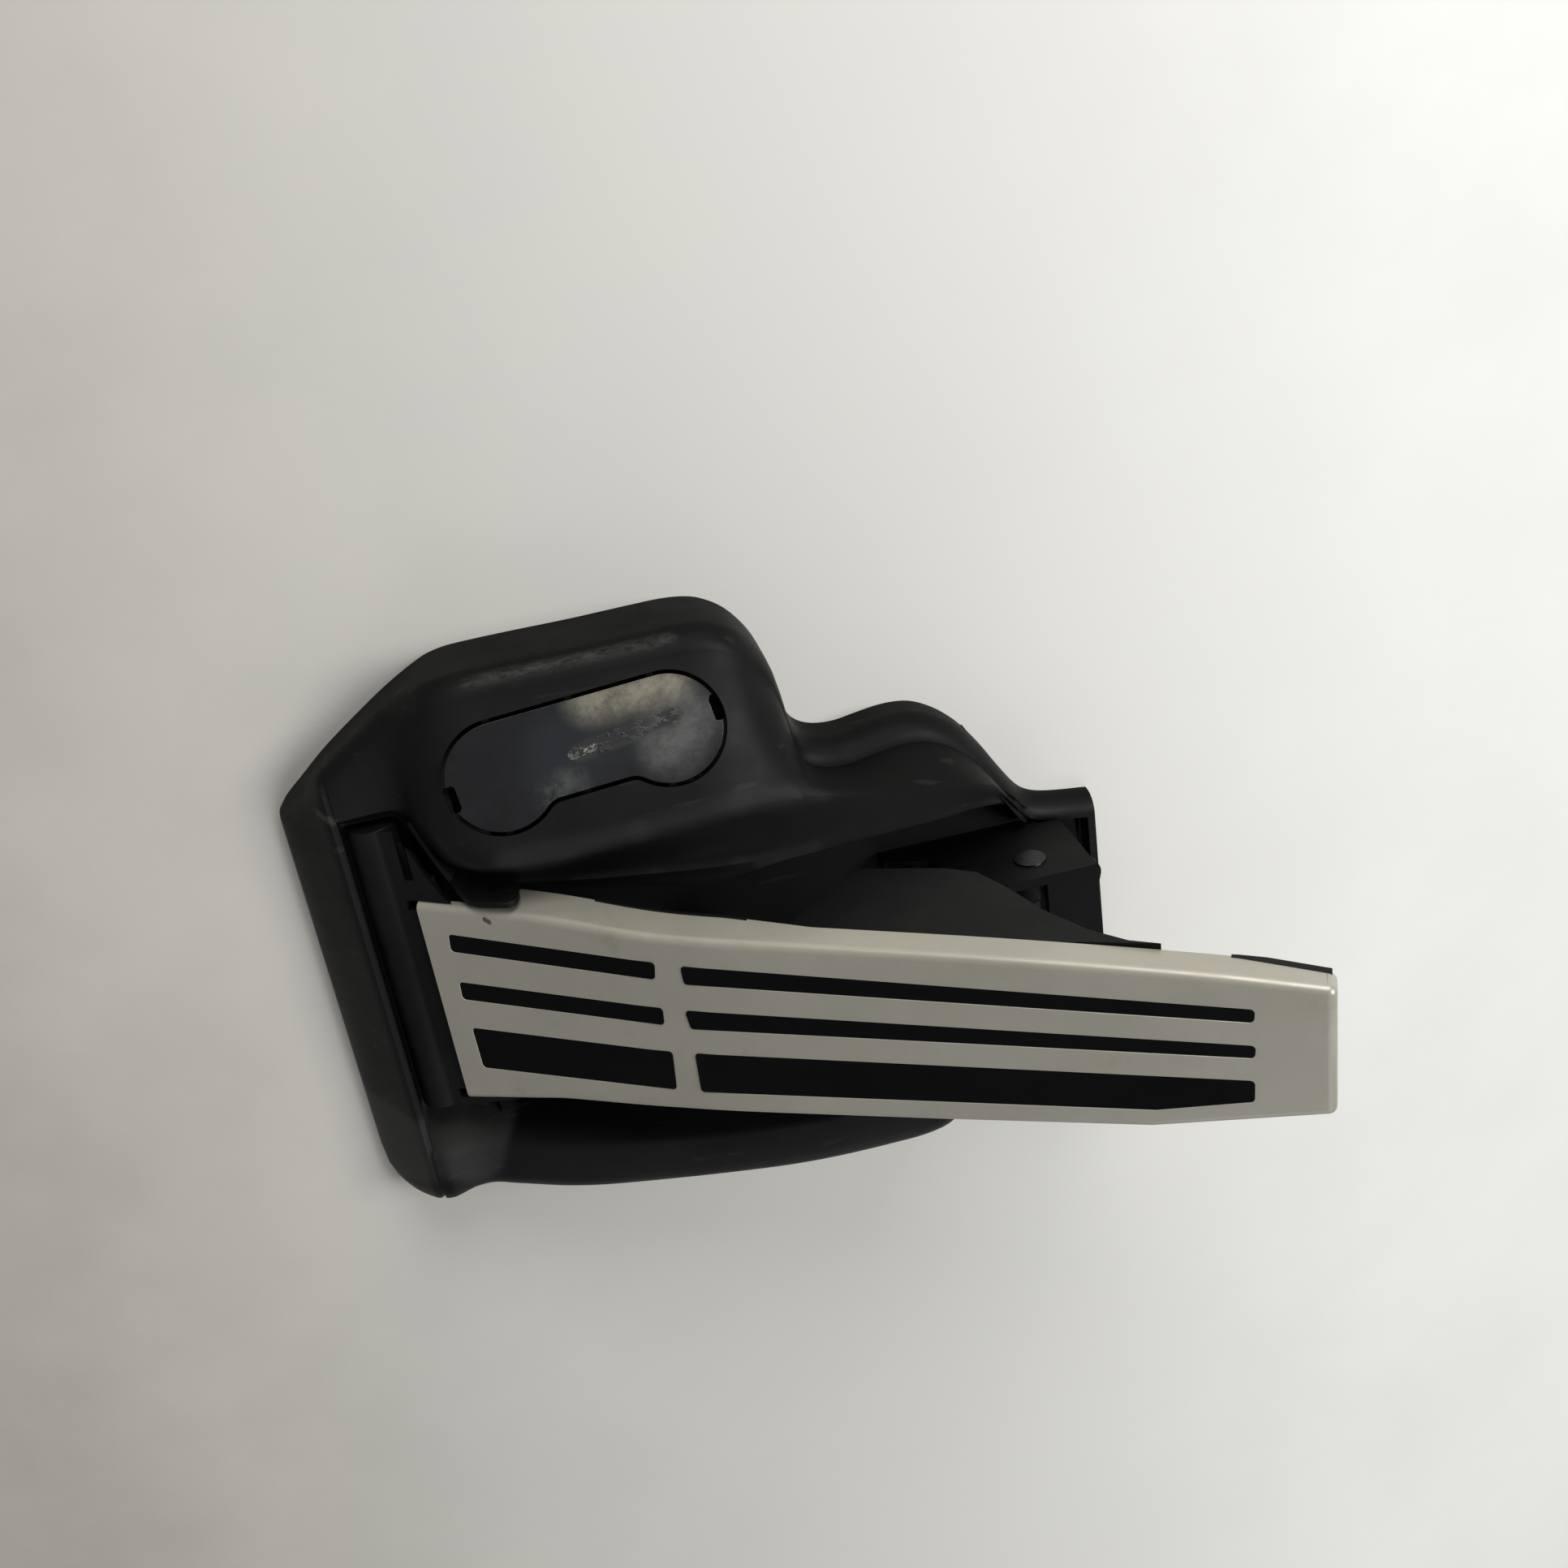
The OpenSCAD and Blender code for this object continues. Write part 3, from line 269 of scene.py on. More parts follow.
def combine(obj, cuts=(), adds=()):
    """Adds and cuts with the manifold solver, and keeps the result as the object's own mesh."""
    for op, others in (("UNION", adds), ("DIFFERENCE", cuts)):
        for o in others:
            m = obj.modifiers.new("b", "BOOLEAN")
            m.operation = op
            m.object = o
            m.solver = "MANIFOLD"
    bpy.context.view_layer.update()
    dg = bpy.context.evaluated_depsgraph_get()
    mesh = bpy.data.meshes.new_from_object(obj.evaluated_get(dg))
    obj.modifiers.clear()
    obj.data = mesh
    for o in list(cuts) + list(adds):
        bpy.data.objects.remove(o)
    return obj


def soften(obj, angle=32):
    """Smooth shading with creases kept where faces meet at more than the angle."""
    bm = bmesh.new()
    bm.from_mesh(obj.data)
    bmesh.ops.remove_doubles(bm, verts=bm.verts, dist=2e-6)
    bmesh.ops.dissolve_degenerate(bm, edges=bm.edges, dist=2e-6)
    for f in bm.faces:
        f.smooth = True
    limit = math.radians(angle)
    for e in bm.edges:
        e.smooth = len(e.link_faces) == 2 and e.calc_face_angle(0) < limit
    bm.to_mesh(obj.data)
    bm.free()
    return obj


def dress(obj, mat, body, stands_for=None):
    """Gives a new piece its material, its body and the node it replaces."""
    obj.data.materials.clear()
    obj.data.materials.append(mat)
    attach(obj, body)
    if stands_for:
        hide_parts(*stands_for)
    return obj


def hull(points):
    """The convex outline round points in a plane."""
    pts = sorted(set(points))
    out = []
    for seq in (pts, pts[::-1]):
        part = []
        for p in seq:
            while len(part) > 1 and ((part[-1][0] - part[-2][0]) * (p[1] - part[-2][1])
                                     - (part[-1][1] - part[-2][1]) * (p[0] - part[-2][0])) <= 0:
                part.pop()
            part.append(p)
        out += part[:-1]
    return out


# The part's own sizes (millimetres)
def tangent(tab, i):
    """The slope that a smooth curve through the table has at entry i."""
    a, b = max(i - 1, 0), min(i + 1, len(tab) - 1)
    return (tab[b][1] - tab[a][1]) / (tab[b][0] - tab[a][0])


def curve(tab, x):
    """A smooth curve through the table's points, level beyond its ends."""
    if x <= tab[0][0]:
        return tab[0][1]
    if x >= tab[-1][0]:
        return tab[-1][1]
    i = max(k for k in range(len(tab) - 1) if tab[k][0] <= x)
    h = tab[i + 1][0] - tab[i][0]
    t = (x - tab[i][0]) / h
    return ((2 * t ** 3 - 3 * t ** 2 + 1) * tab[i][1]
            + (t ** 3 - 2 * t ** 2 + t) * h * tangent(tab, i)
            + (3 * t ** 2 - 2 * t ** 3) * tab[i + 1][1] + (t ** 3 - t ** 2) * h * tangent(tab, i + 1))


def straight(tab, x):
    """Straight lines through the table's points, level beyond its ends."""
    if x <= tab[0][0]:
        return tab[0][1]
    for (a, p), (b, q) in zip(tab, tab[1:]):
        if x <= b:
            return p + (q - p) * (x - a) / (b - a)
    return tab[-1][1]


# tables along X: the outline (outline_), the heights and places of the fairing on the +Y side
# (_up) and of the plain crest on the -Y side (_low)
outline_up = [[-21, 49], [-19, 51.7], [-13.6, 56.4], [-7.5, 61.6], [1.7, 68.2], [10.8, 74.2],
    [19.8, 79], [24, 80.2], [28, 80.6], [40, 80.8], [55, 80.8], [70, 81.1], [78, 81.1], [84, 80.2],
    [88, 78.4], [91.5, 75.8], [94.5, 72.2], [97, 68], [98.8, 63], [100, 57], [100.8, 51],
    [102.4, 46], [105, 43], [109, 41.3], [114, 40.9], [119, 41.6], [125, 42.4], [130, 42.4],
    [134, 41.6], [138, 39.6], [142, 36.6], [146, 32.4], [150.5, 26], [155, 18.4], [159, 12.4],
    [162, 10], [167, 8.4], [178, 6.8]]
outline_low = [[-21, 50], [-20.2, 56], [-18.7, 59.6], [-16, 61.6], [-13, 62.2], [-10, 61.8],
    [-6.5, 60.8], [-3, 59.7], [1, 59.1], [5, 59], [12, 59.4], [60, 59.4], [120, 59.6], [146, 58.6],
    [160, 56.4], [167, 54], [173, 50.4], [178, 46]]
rim_up = [[-8, 18], [9, 18], [14, 20], [20, 23.5], [28, 25], [75, 25], [88, 23.6], [97, 19],
    [103, 15], [115, 14], [135, 12.5], [150, 9], [161, 6.5], [178, 6]]
crest_up_z = [[-8, 18], [8, 18], [12, 23], [17, 31], [24, 36], [34, 37.1], [75, 36.7], [88, 35],
    [98, 32], [108, 30], [122, 28.5], [134, 27], [142, 24.6], [148, 20.4], [152, 15.6], [156, 11],
    [161, 6.5], [178, 6]]
crest_up_y = [[9, 50.5], [14, 46], [20, 42.4], [30, 40.5], [78, 41], [92, 40], [102, 36.8],
    [112, 34], [130, 31], [142, 27.2], [150, 22], [155, 16], [161, 9.4], [167, 6.4], [178, 4.6]]
pit_up = [[5, 47.4], [7, 46.2], [9, 40.6], [11, 35.2], [14, 30], [18, 27.4], [28, 24.4], [40, 21],
    [60, 18.4], [80, 17.6], [90, 19.6], [96, 20.6], [138, 20.4], [144, 19], [150, 15.6],
    [155, 10.5], [161, 6.6], [167, 4.2], [178, 2.4]]
lip_up = [[5, 14.4], [9, 14.4], [20, 14.2], [30, 14.6], [40, 16.8], [50, 19.4], [60, 22],
    [70, 24.6], [80, 26.8], [90, 28], [98, 28], [108, 26.8], [122, 25.4], [134, 24], [142, 21.4],
    [148, 16.8], [152, 12], [156, 7.5], [160, 4], [178, 3.2]]
band_y = [[9, 43], [12, 34.8], [15, 30.4], [18, 29.4], [30, 28.7], [40, 27.5], [50, 26.4],
    [60, 25.4], [70, 24.5], [80, 23.9], [95, 23], [110, 22.2], [138, 21.2], [144, 20], [150, 16.8],
    [155, 11.6], [161, 7.2], [178, 2.8]]
band_z = [[5, 15], [9, 15.5], [14, 17], [18, 19], [24, 22.5], [32, 25.6], [45, 27.4], [60, 29],
    [80, 31], [95, 31], [108, 29.5], [122, 28], [134, 26.4], [142, 23.6], [148, 19], [152, 14],
    [156, 9.4], [161, 5.6], [178, 3.4]]
# the height that the edge of the pressed pedal comes down to, less the room it needs
swept = [[0, 30], [27, 19.5], [30, 15.6], [33, 15.4], [40, 17.7], [50, 20.7], [59, 23.6],
    [68.5, 26.4], [83, 30], [92, 34]]
crest_low_z = [[-8, 19], [-4, 21.5], [2, 20.5], [7, 20.8], [13, 23.4], [25, 29], [37, 33],
    [65, 39.5], [85, 42.8], [105, 43.6], [119, 42.6], [126, 38], [132, 26], [137, 12], [140.5, 7],
    [146, 6], [178, 6]]
heel_top = [[-21, 3], [-19.6, 5.6], [-8.6, 17.8], [-8, 18], [-7.2, 17.6]]
base_steps = [-21, -20.2, -18.7, -16, -13, -10, -8, -7.2, -6.61, -6.59, -3, 1, 5, 7, 9, 11, 12,
    12.01, 14.5, 17.5, 21, 26, 31, 41, 50, 60, 69, 78, 84, 88, 91.5, 94.5, 97, 99, 101, 103.5, 107,
    113, 120, 126, 132, 138, 142, 146, 150.5, 155, 159, 164, 173.99, 174.01, 176.01, 178]
TROUGH_X, PIT_X1 = -6.6, 176
HOLLOW_0, HOLLOW_1 = 12, 174
RIM_R, PIT_LOW, CREST_IN, FLOOR_T, WALL = 6, -33, 46, 3, 2.5
DROP_IN, LIP_DROP = 0.4, 1.2
HEEL_LIP_Y = 30


def top_line(x, fine=3):
    """The upper side of the base at one X, from the foot of the +Y side to that of the -Y side."""
    heel, past = x < TROUGH_X, x > PIT_X1
    ht = curve(heel_top, x)
    # edge (yo), crest (yc), band at the slope's foot (yb) and lip of the pit (yi) of the +Y side
    yo, yn = curve(outline_up, x), -curve(outline_low, x)
    zr = ht if heel else curve(rim_up, x)
    zc = ht if heel else curve(crest_up_z, x)
    yc = min(curve(crest_up_y, x), yo - RIM_R)
    yi = HEEL_LIP_Y if heel else min(curve(pit_up, x), yc - 0.5)
    zi = ht if heel else zr if past else min(curve(lip_up, x), straight(swept, x) - LIP_DROP)
    yb = min(max(curve(band_y, x), yi + 0.6), yc - 0.2)
    zb = min(curve(band_z, x), zc) if not (heel or past) else zi
    zs = zi if heel or past else max(zi, min(zb - 0.1, straight(swept, x)))
    # floor of the pit, then the crest (yl) and edge (yn) of the -Y side
    zf = ht if heel else zr if past else FLOOR_T
    zn = ht * (1 + 0.05 * (x + 21) / 14) if heel else curve(crest_low_z, x)
    yl = max(-CREST_IN, yn + RIM_R + 1)
    r, rn = min(RIM_R, zr - 1), min(RIM_R, zn - 1)
    n_arc, n_rim, n_slope, n_drop, n_low = 4 * fine, 3 * fine, 4 * fine, 2 * fine - 1, 5 * fine
    arcs = [math.radians(90 * i / n_arc) for i in range(n_arc)]
    pts = [(yo, 0)] + [(yo - r + r * math.cos(a), zr - r + r * math.sin(a)) for a in arcs]
    pts += [(yo - r + k / n_rim * (yc - yo + r), zr + k / n_rim * (zc - zr)) for k in range(n_rim)]
    pts += [(yc + (yb - yc) * k / n_slope, zb + (zc - zb) * (1 + math.cos(math.pi * k / n_slope)) / 2)
            for k in range(n_slope)]
    pts += [(yb, zb)]
    for k in range(n_drop):
        g = k / n_drop
        pts += [(yb - DROP_IN + (yi - yb + DROP_IN) * g,
                 zi + (zs - zi) * math.cos(math.pi / 2 * g) ** 0.7)]
    pts += [(yi, zi), (yi - 0.6, zf), ((yi + PIT_LOW) / 2, zf), (PIT_LOW + 0.6, zf)]
    pts += [(PIT_LOW + (yl - PIT_LOW) * k / n_low,
             zf + (zn - zf) * (1 - math.cos(math.pi * k / n_low)) / 2 + 0.01) for k in range(n_low)]
    pts += [(yl, zn)]
    pts += [(yn + rn - rn * math.cos(math.pi / 2 - a), zn - rn + rn * math.sin(math.pi / 2 - a))
            for a in arcs]
    return pts + [(yn, max(0.4, zn - rn) * 0.5), (yn, 0)]


def inner_line(line, d, open_):
    """The underside of a section: the upper line moved in by d, or flat where the base is solid."""
    n = len(line) - 1
    y0, y1 = line[0][0] - d, line[n][0] + d
    if not open_:
        return [(y0 + (y1 - y0) * j / n, 0) for j in range(n + 1)]
    out = []
    for j in range(n + 1):
        a, b = line[max(j - 1, 0)], line[min(j + 1, n)]
        u = (b[0] - a[0], b[1] - a[1])
        k = math.hypot(*u) or 1
        edge = j in (0, n)
        q = (line[j][0] - d * u[1] / k, line[j][1] + d * u[0] / k)
        if edge:
            q = ((y0 if j == 0 else y1), 0)
        if q[1] < FLOOR_T and not edge:
            q = (max(min(q[0], y0 - 0.008 * j), y1 + 0.008 * (n - j)), 0)
        out.append(q)
    return out


def spaced(steps, gap):
    """The steps with others set between them, so that none lie further apart than the gap."""
    out = []
    for a, b in zip(steps, steps[1:]):
        n = 1 if b - a < 0.05 else max(1, math.ceil((b - a) / gap))
        out += [a + (b - a) * i / n for i in range(n)]
    return out + [steps[-1]]


# Base shell
RIB_PITCH, RIB_T = 19, 1.6
BOLT_R, BOSS_R, PILOT_R = 5.5, 7.7, 1.5
cap_place = (Matrix.Translation(Vector((52, 59.4, 30.2))) @ Matrix.Rotation(math.radians(-20), 4, "X")
             @ Matrix.Rotation(math.radians(4), 4, "Z"))


def cap_outline(grow):
    """The cap's oblong outline with two round ends and a waist, made larger by grow."""
    r, w, f, p = 12.7 + grow, 8.4 + grow, 5 - grow, 39 / 2
    run = math.sqrt((r + f) ** 2 - (w + f) ** 2)
    phi = math.degrees(math.atan2(w + f, run))
    half = [(p - run, -w)] + ring_of(p - run, -w - f, f, 10, 90, phi)[1:-1]
    half += ring_of(p, 0, r, 40, 180 + phi, 450)
    return half + [(-x, y) for x, y in reversed(half)]


def section(x):
    top = top_line(x)
    return [(x, y, z) for y, z in top + inner_line(top, WALL, HOLLOW_0 < x < HOLLOW_1)[::-1]]


base = loft("base_shell_smooth", [section(x) for x in spaced(base_steps, 1.6)])
adds, cuts = [], []
x = HOLLOW_0 + RIB_PITCH
while x <= HOLLOW_1 - 12:
    top = top_line(x, 2)
    ends = (top[0][0] - 1.5, top[-1][0] + 1.5)
    heights = sorted((y, z) for y, z in top)
    for lo, hi in ((curve(pit_up, x) + 1, ends[0]), (ends[1], PIT_LOW - 1)):
        ys = [lo + (hi - lo) * k / 24 for k in range(25)]
        near_y = (-1.6, -0.8, 0, 0.8, 1.6)
        roof = [(y, max(1.0, min(straight(heights, y + e) for e in near_y) - 1.6)) for y in ys]
        outline = [(lo, 0.0), (hi, 0.0)] + roof[::-1]
        adds.append(loft("rib", [[(x + e, y, z) for y, z in outline] for e in (0, RIB_T)]))
    x += RIB_PITCH
seat = [(-8, 0.5), (7.6, 0.5), (7.6, 9), (4.55, 9)]
seat += ring_of(0, 13, 6.06, 14, -41.3, -180)[1:] + [(-8, 13)]
adds.append(along_y("seat", seat, PIT_LOW - 1, 49))
bolts = [(32.5, 58.0), (71.5, 60.8), (150, -48)]
screws = [(124.5, -3.7), (124.5, -20.3), (172.5, -12)]


def drafted(at, r, z0, z1):
    """A boss that narrows by 0.4 mm in radius towards its top."""
    return loft("boss", [[(a, b, z) for a, b in ring_of(at[0], at[1], q)]
                         for q, z in ((r + 0.4, z0), (r, z1))])


adds += [drafted(b, BOSS_R, 0, 25.5) for b in bolts[:2]]
adds += [drafted(b, BOSS_R, 0, 14) for b in bolts[2:]]
adds += [drafted(s, 3.2, 0.5, 9) for s in screws]
adds += [drafted((70, -16 + y), 7.5, 0.5, 6) for y in (-2, 2)]
# the thin wall in front of the hinge: X, Y and height along its run
WEB = [(9, 46.1, 17.4), (9.7, 44, 18), (11.2, 40.3, 19.2), (13.1, 35.9, 20.8), (15.3, 31.8, 22.8),
    (17.2, 30, 27), (18.8, 28.9, 30.4), (21, 28.9, 32.8), (24.5, 28.9, 34.6), (27.6, 28.9, 36),
    (29, 28.9, 35.6), (29.9, 28.9, 34.4), (30.4, 28.9, 32.4)]


def web_ring(i):
    """The wall's section at entry i of WEB, with a sloped foot on its outer side."""
    a, b = WEB[max(i - 1, 0)], WEB[min(i + 1, len(WEB) - 1)]
    n = Vector((a[1] - b[1], b[0] - a[0])).normalized() * 0.8
    x, y, z = WEB[i]
    inner, outer = (x - n.x, y - n.y), (x + n.x, y + n.y)
    foot = min(5.5, (z - 15) * 0.45)
    return [(*inner, 12.6), (*inner, z - 0.4), (x - n.x * 0.5, y - n.y * 0.5, z),
            (x + n.x * 0.5, y + n.y * 0.5, z), (*outer, z - 0.4),
            (x + n.x * foot, y + n.y * foot, 17.5), (x + n.x * foot, y + n.y * foot, 12.6)]


adds.append(loft("web", [web_ring(i) for i in range(len(WEB))]))
cuts.append(prism("pocket", cap_outline(0.6), -2.6, 17, cap_place))
cuts += [prism("bore", ring_of(b[0], b[1], BOLT_R, 64), -1, 40) for b in bolts]
cuts += [prism("pilot", ring_of(s[0], s[1], PILOT_R, 24), 2, 10) for s in screws]
NOTCH = [(-0.9, -2.6), (-0.2, -3.1), (2, -3.1), (2, 3.1), (-0.2, 3.1), (-0.9, 2.2)]
notch_places = [cap_place @ Matrix.Translation(Vector((u, v, 0)))
                @ Matrix.Rotation(math.radians(a), 4, "Z")
                for u, v, a in ((30.9, 1.6, 6), (-30.7, -2.0, 184))]
cuts += [prism("deep", NOTCH, -4.4, -2, spot) for spot in notch_places]
cuts.append(prism("kick", ring_of(70, -16, 5.9, 40), 3, 8))
combine(base, cuts, adds)
soften(base, 34)


# lines of painted highlight along the fairing's crest and along the foot of its slope
CREST = [(30, 40.4, 36.6), (60, 40.2, 37), (84, 41.4, 35.6), (104, 38, 31), (116, 36.8, 29.2)]
BAND = [(44, 26.2, 27.4), (62, 25, 29.2), (82, 23.6, 31), (100, 22.8, 30.6)]


def dust_wear_and_painted_light(t, color, r, normal):
    """The base's dust, scuffs and pores over plain plastic, with painted highlights on the crest and
    band, painted shade on the walls facing +Y and painted light on the heel's foot.
    """
    # grey haze of dust on what faces up; the painted highlight on the rounded shoulders comes further
    # down
    up_side = t.facing((0, 0.25, 0.97), 0.55, 0.98)
    haze = t.math("MULTIPLY", up_side, t.remap(t.noise(17, 6, 0.65), 0.3, 0.75))
    color = t.mix(t.math("MULTIPLY", haze, 0.2), color, rgb("262626"))
    # painted shade: the walls that face +Y are painted near black, and made rougher
    painted_shade_wall = t.facing((0, 1, 0.1), 0.45, 0.9)
    color = t.mix(t.math("MULTIPLY", painted_shade_wall, 0.9), color, rgb("020202"))
    r = t.math("ADD", r, t.math("MULTIPLY", painted_shade_wall, 0.2))
    # painted light: a paler patch on the foot at the heel end, where the pedal plate casts no shade
    foot = t.math("MULTIPLY", t.near((-19, -44, 3), (3, -44, 12), 12, 15),
                  t.remap(t.noise(120, 5, 0.7), 0.25, 0.75, 0.55, 1.0))
    color = t.mix(t.math("MULTIPLY", foot, 0.28), color, rgb("4d4d4c"))
    # scuffs along the rim, the groove and the recess
    scuffs = [((56, 79.6, 23.8), (68, 79.8, 23.8), 0.2, 1.0, 0.16),
              ((38, 79.1, 23.8), (54, 79.5, 23.8), 0.2, 0.9, 0.08),
              ((-7.5, 50, 14), (-7.6, 12, 12), 0.3, 1.2, 0.14),
              ((-7.7, 8, 12), (-8.2, -24, 12), 0.4, 1.4, 0.2),
              ((8, 47, 15), (14, 38, 15), 0.3, 0.9, 0.1),
              ((16, 34, 12), (28, 26.5, 7), 0.4, 1.6, 0.12),
              ((-13.5, 55, 15), (-7.5, 50.5, 18), 0.5, 1.6, 0.16),
              ((30, 79.5, 23.8), (76, 79.8, 23.8), 0.6, 2.6, 0.12)]
    for p, q, r0, r1, k in scuffs:
        broken = t.remap(t.noise(900, 6, 0.8, (0.35, 1, 1)), 0.36, 0.66)
        patch = t.math("MULTIPLY", t.near(p, q, r0, r1), broken)
        color = t.mix(t.math("MULTIPLY", patch, k), color, rgb("8c8b85"))
    # painted highlight on the rounded crest above the slope, and on the band at its foot
    for line, r1, k in ((CREST, 4.6, 0.5), (BAND, 3.4, 0.4)):
        for p, q in zip(line, line[1:]):
            painted_highlight = t.near(p, q, 0.4, r1)
            color = t.mix(t.math("MULTIPLY", painted_highlight, k), color, rgb("29292a"))
    scratch = t.near((102, 42.5, 26), (109, 42, 24), 0.1, 0.4)
    color = t.mix(t.math("MULTIPLY", scratch, 0.3), color, rgb("8c8c88"))
    streak = t.remap(t.noise(300, 3, 0.5, (0.12, 1, 1)), 0.66, 0.74)
    color = t.mix(t.math("MULTIPLY", streak, 0.03), color, rgb("8c8c88"))
    pores = t.noise(1500, 3, 0.6)
    return color, r, t.bump(pores, 0.25, 0.00004, normal)


base_mat = plastic("moulded_base", "0a0a0b", "0f0f10", 0.5, 2400, 0.16, dust_wear_and_painted_light, 0.13)
dress(base, base_mat, "base", ["base_shell"])

# Bolt cap with its scuffed groove and pry notches
cap = prism("bolt_cap_glossy", cap_outline(-0.35), -2.3, -0.3, cap_place)


def on_cap(u, v):
    """A point on the cap's top, given in the cap's own plane."""
    return tuple(cap_place @ Vector((u, v, 0.0)))


groove = hull([(round(a, 4), round(b, 4)) for u, v in ((-3.0, 0.2), (-1.2, 0.35))
               for a, b in ring_of(u, v, 0.8, 20)])
cap_cuts = [prism("g", groove, -0.75, 1, cap_place)]
cap_cuts += [prism("n", NOTCH, -3, 1, spot) for spot in notch_places]
combine(cap, cap_cuts)
soften(cap, 30)
edge = cap.modifiers.new("edge", "BEVEL")
edge.width = 0.35 * MM
edge.segments = 3
edge.limit_method = "ANGLE"
edge.angle_limit = math.radians(40)


def cap_material():
    """Glossy black with a painted bluish reflection, beige and grey haze, dark chips and a pale scuff
    in the groove.
    """
    t = Tree("glossy_cap")
    color = t.mix(t.remap(t.noise(45, 5, 0.6), 0.35, 0.7), rgb("0f0f11"), rgb("17181b"))
    # painted reflection: a bluish grey patch across the middle of the cap
    painted_reflection = t.near(on_cap(-4, 2), on_cap(6, 6), 3, 14)
    color = t.mix(t.math("MULTIPLY", painted_reflection, 0.35), color, rgb("2c3136"))
    beige = t.math("MULTIPLY", t.near(on_cap(4, 11), on_cap(22, 9.5), 0.5, 8),
                   t.remap(t.noise(150, 7, 0.75), 0.25, 0.7))
    color = t.mix(t.math("MULTIPLY", beige, 0.8), color, rgb("979280"))
    grey = t.math("MULTIPLY", t.near(on_cap(19, -3), on_cap(24, 1), 2, 11),
                  t.remap(t.noise(170, 7, 0.75), 0.2, 0.75))
    color = t.mix(t.math("MULTIPLY", grey, 0.7), color, rgb("6f706e"))
    low = t.math("MULTIPLY", t.near(on_cap(-9, -7), on_cap(-5, -6), 1, 6),
                 t.remap(t.noise(200, 6, 0.75), 0.4, 0.7))
    color = t.mix(t.math("MULTIPLY", low, 0.35), color, rgb("6f706e"))
    chips = t.math("MULTIPLY", t.near(on_cap(-1, 0.4), on_cap(21, 2.6), 1.0, 3.0),
                   t.remap(t.noise(330, 5, 0.7, (0.6, 1, 1)), 0.43, 0.48))
    color = t.mix(chips, color, rgb("060606"))
    pale = t.math("MULTIPLY", t.near(on_cap(-3, 0.2), on_cap(2, 0.6), 0.3, 1.3),
                  t.remap(t.noise(1100, 4, 0.8), 0.45, 0.6))
    color = t.mix(t.math("MULTIPLY", pale, 0.6), color, rgb("b5b3aa"))
    smear = t.remap(t.noise(60, 6, 0.7, (0.5, 1, 1)), 0.3, 0.75, 0.2, 0.36)
    r = t.math("ADD", smear, t.math("MULTIPLY", chips, 0.35))
    normal = t.bump(t.noise(55, 3, 0.5), 0.12, 0.0004)
    normal = t.bump(t.math("SUBTRACT", 1.0, chips), 0.5, 0.0001, normal)
    return t.set(color, r, normal)


dress(cap, cap_material(), "base", ["bolt_cap"])

# Trim plate
# slopes of its two halves, their lengths from the heel edge at (HX, HZ), and the bend between them
HEEL, TOE = math.radians(32.4), math.radians(26.8)
HX, HZ, HLEN, TLEN, BLEN = 6.0, 22.0, 62.5, 142.0, 35.0
BEND0 = HLEN - BLEN / 2
BEND_R = BLEN / (HEEL - TOE)
PLATE = HLEN + TLEN
TR, TT = 2.0, 1.2  # edge radius and sheet thickness
arc_p = (HX + BEND0 * math.cos(HEEL), HZ + BEND0 * math.sin(HEEL))


def arc_to(a):
    """The place on the bend where the plate's slope is a."""
    return (arc_p[0] + BEND_R * (math.sin(HEEL) - math.sin(a)),
            arc_p[1] + BEND_R * (math.cos(a) - math.cos(HEEL)))


arc_q = arc_to(TOE)


def slope_at(s):
    if s < BEND0:
        return HEEL
    return TOE if s > BEND0 + BLEN else HEEL - (s - BEND0) / BLEN * (HEEL - TOE)


def plate(s, d=0.0):
    """X and Z at the length s along the plate and the depth d under its top."""
    a = slope_at(s)
    if s < BEND0:
        p = (HX + s * math.cos(HEEL), HZ + s * math.sin(HEEL))
    elif s > BEND0 + BLEN:
        k = s - BEND0 - BLEN
        p = (arc_q[0] + k * math.cos(TOE), arc_q[1] + k * math.sin(TOE))
    else:
        p = arc_to(a)
    return (p[0] + d * math.sin(a), p[1] - d * math.cos(a))


edge_up = [[0, 27.4], [30, 26.4], [60, 23.2], [95, 21.6], [140, 19.4], [180, 16.6], [204, 14]]
edge_low = [[0, 29], [28, 25.8], [60, 24.7], [125, 23.7], [167, 22.7], [204, 17.4]]
flange = [[0, TR + 0.6], [21, TR + 1], [22.6, 10.6], [75, 10.6], [95, 8], [185, 8], [204, 6]]


def trim_section(s, du, dl):
    """Width and depth of the formed sheet at s, with its edges turned down to du and dl."""
    q, yu, yl = TR - TT, curve(edge_up, s), -straight(edge_low, s)
    c = [math.radians(a) for a in (0, 12, 24, 36, 48, 60, 72, 84)]
    out = [(yu, du)] + [(yu - TR + TR * math.sin(a), TR - TR * math.cos(a)) for a in reversed(c)]
    out += [(yl + TR - TR * math.sin(a), TR - TR * math.cos(a)) for a in c] + [(yl, dl)]
    inn = [(yl + TT, dl)] + [(yl + TR - q * math.sin(a), TR - q * math.cos(a)) for a in reversed(c)]
    inn += [(yu - TR + q * math.sin(a), TR - q * math.cos(a)) for a in c] + [(yu - TT, du)]
    return out + inn


def trim_ring(s):
    m, a, du = plate(s), slope_at(s), straight(flange, s)
    return [(m[0] + d * math.sin(a), y, m[1] - d * math.cos(a))
            for y, d in trim_section(s, du, min(6, du))]


toe_s = PLATE - TR


def toe_ring(turned, k):
    """A section turned round the toe's edge, and moved down by k."""
    c, a = plate(toe_s, TR), TOE - turned
    out = []
    for y, d in trim_section(toe_s, TR - 0.05, TR - 0.05):
        w = d - TR
        out.append((c[0] + w * math.sin(a) + k * math.sin(TOE), y,
                    c[1] - w * math.cos(a) - k * math.cos(TOE)))
    return out


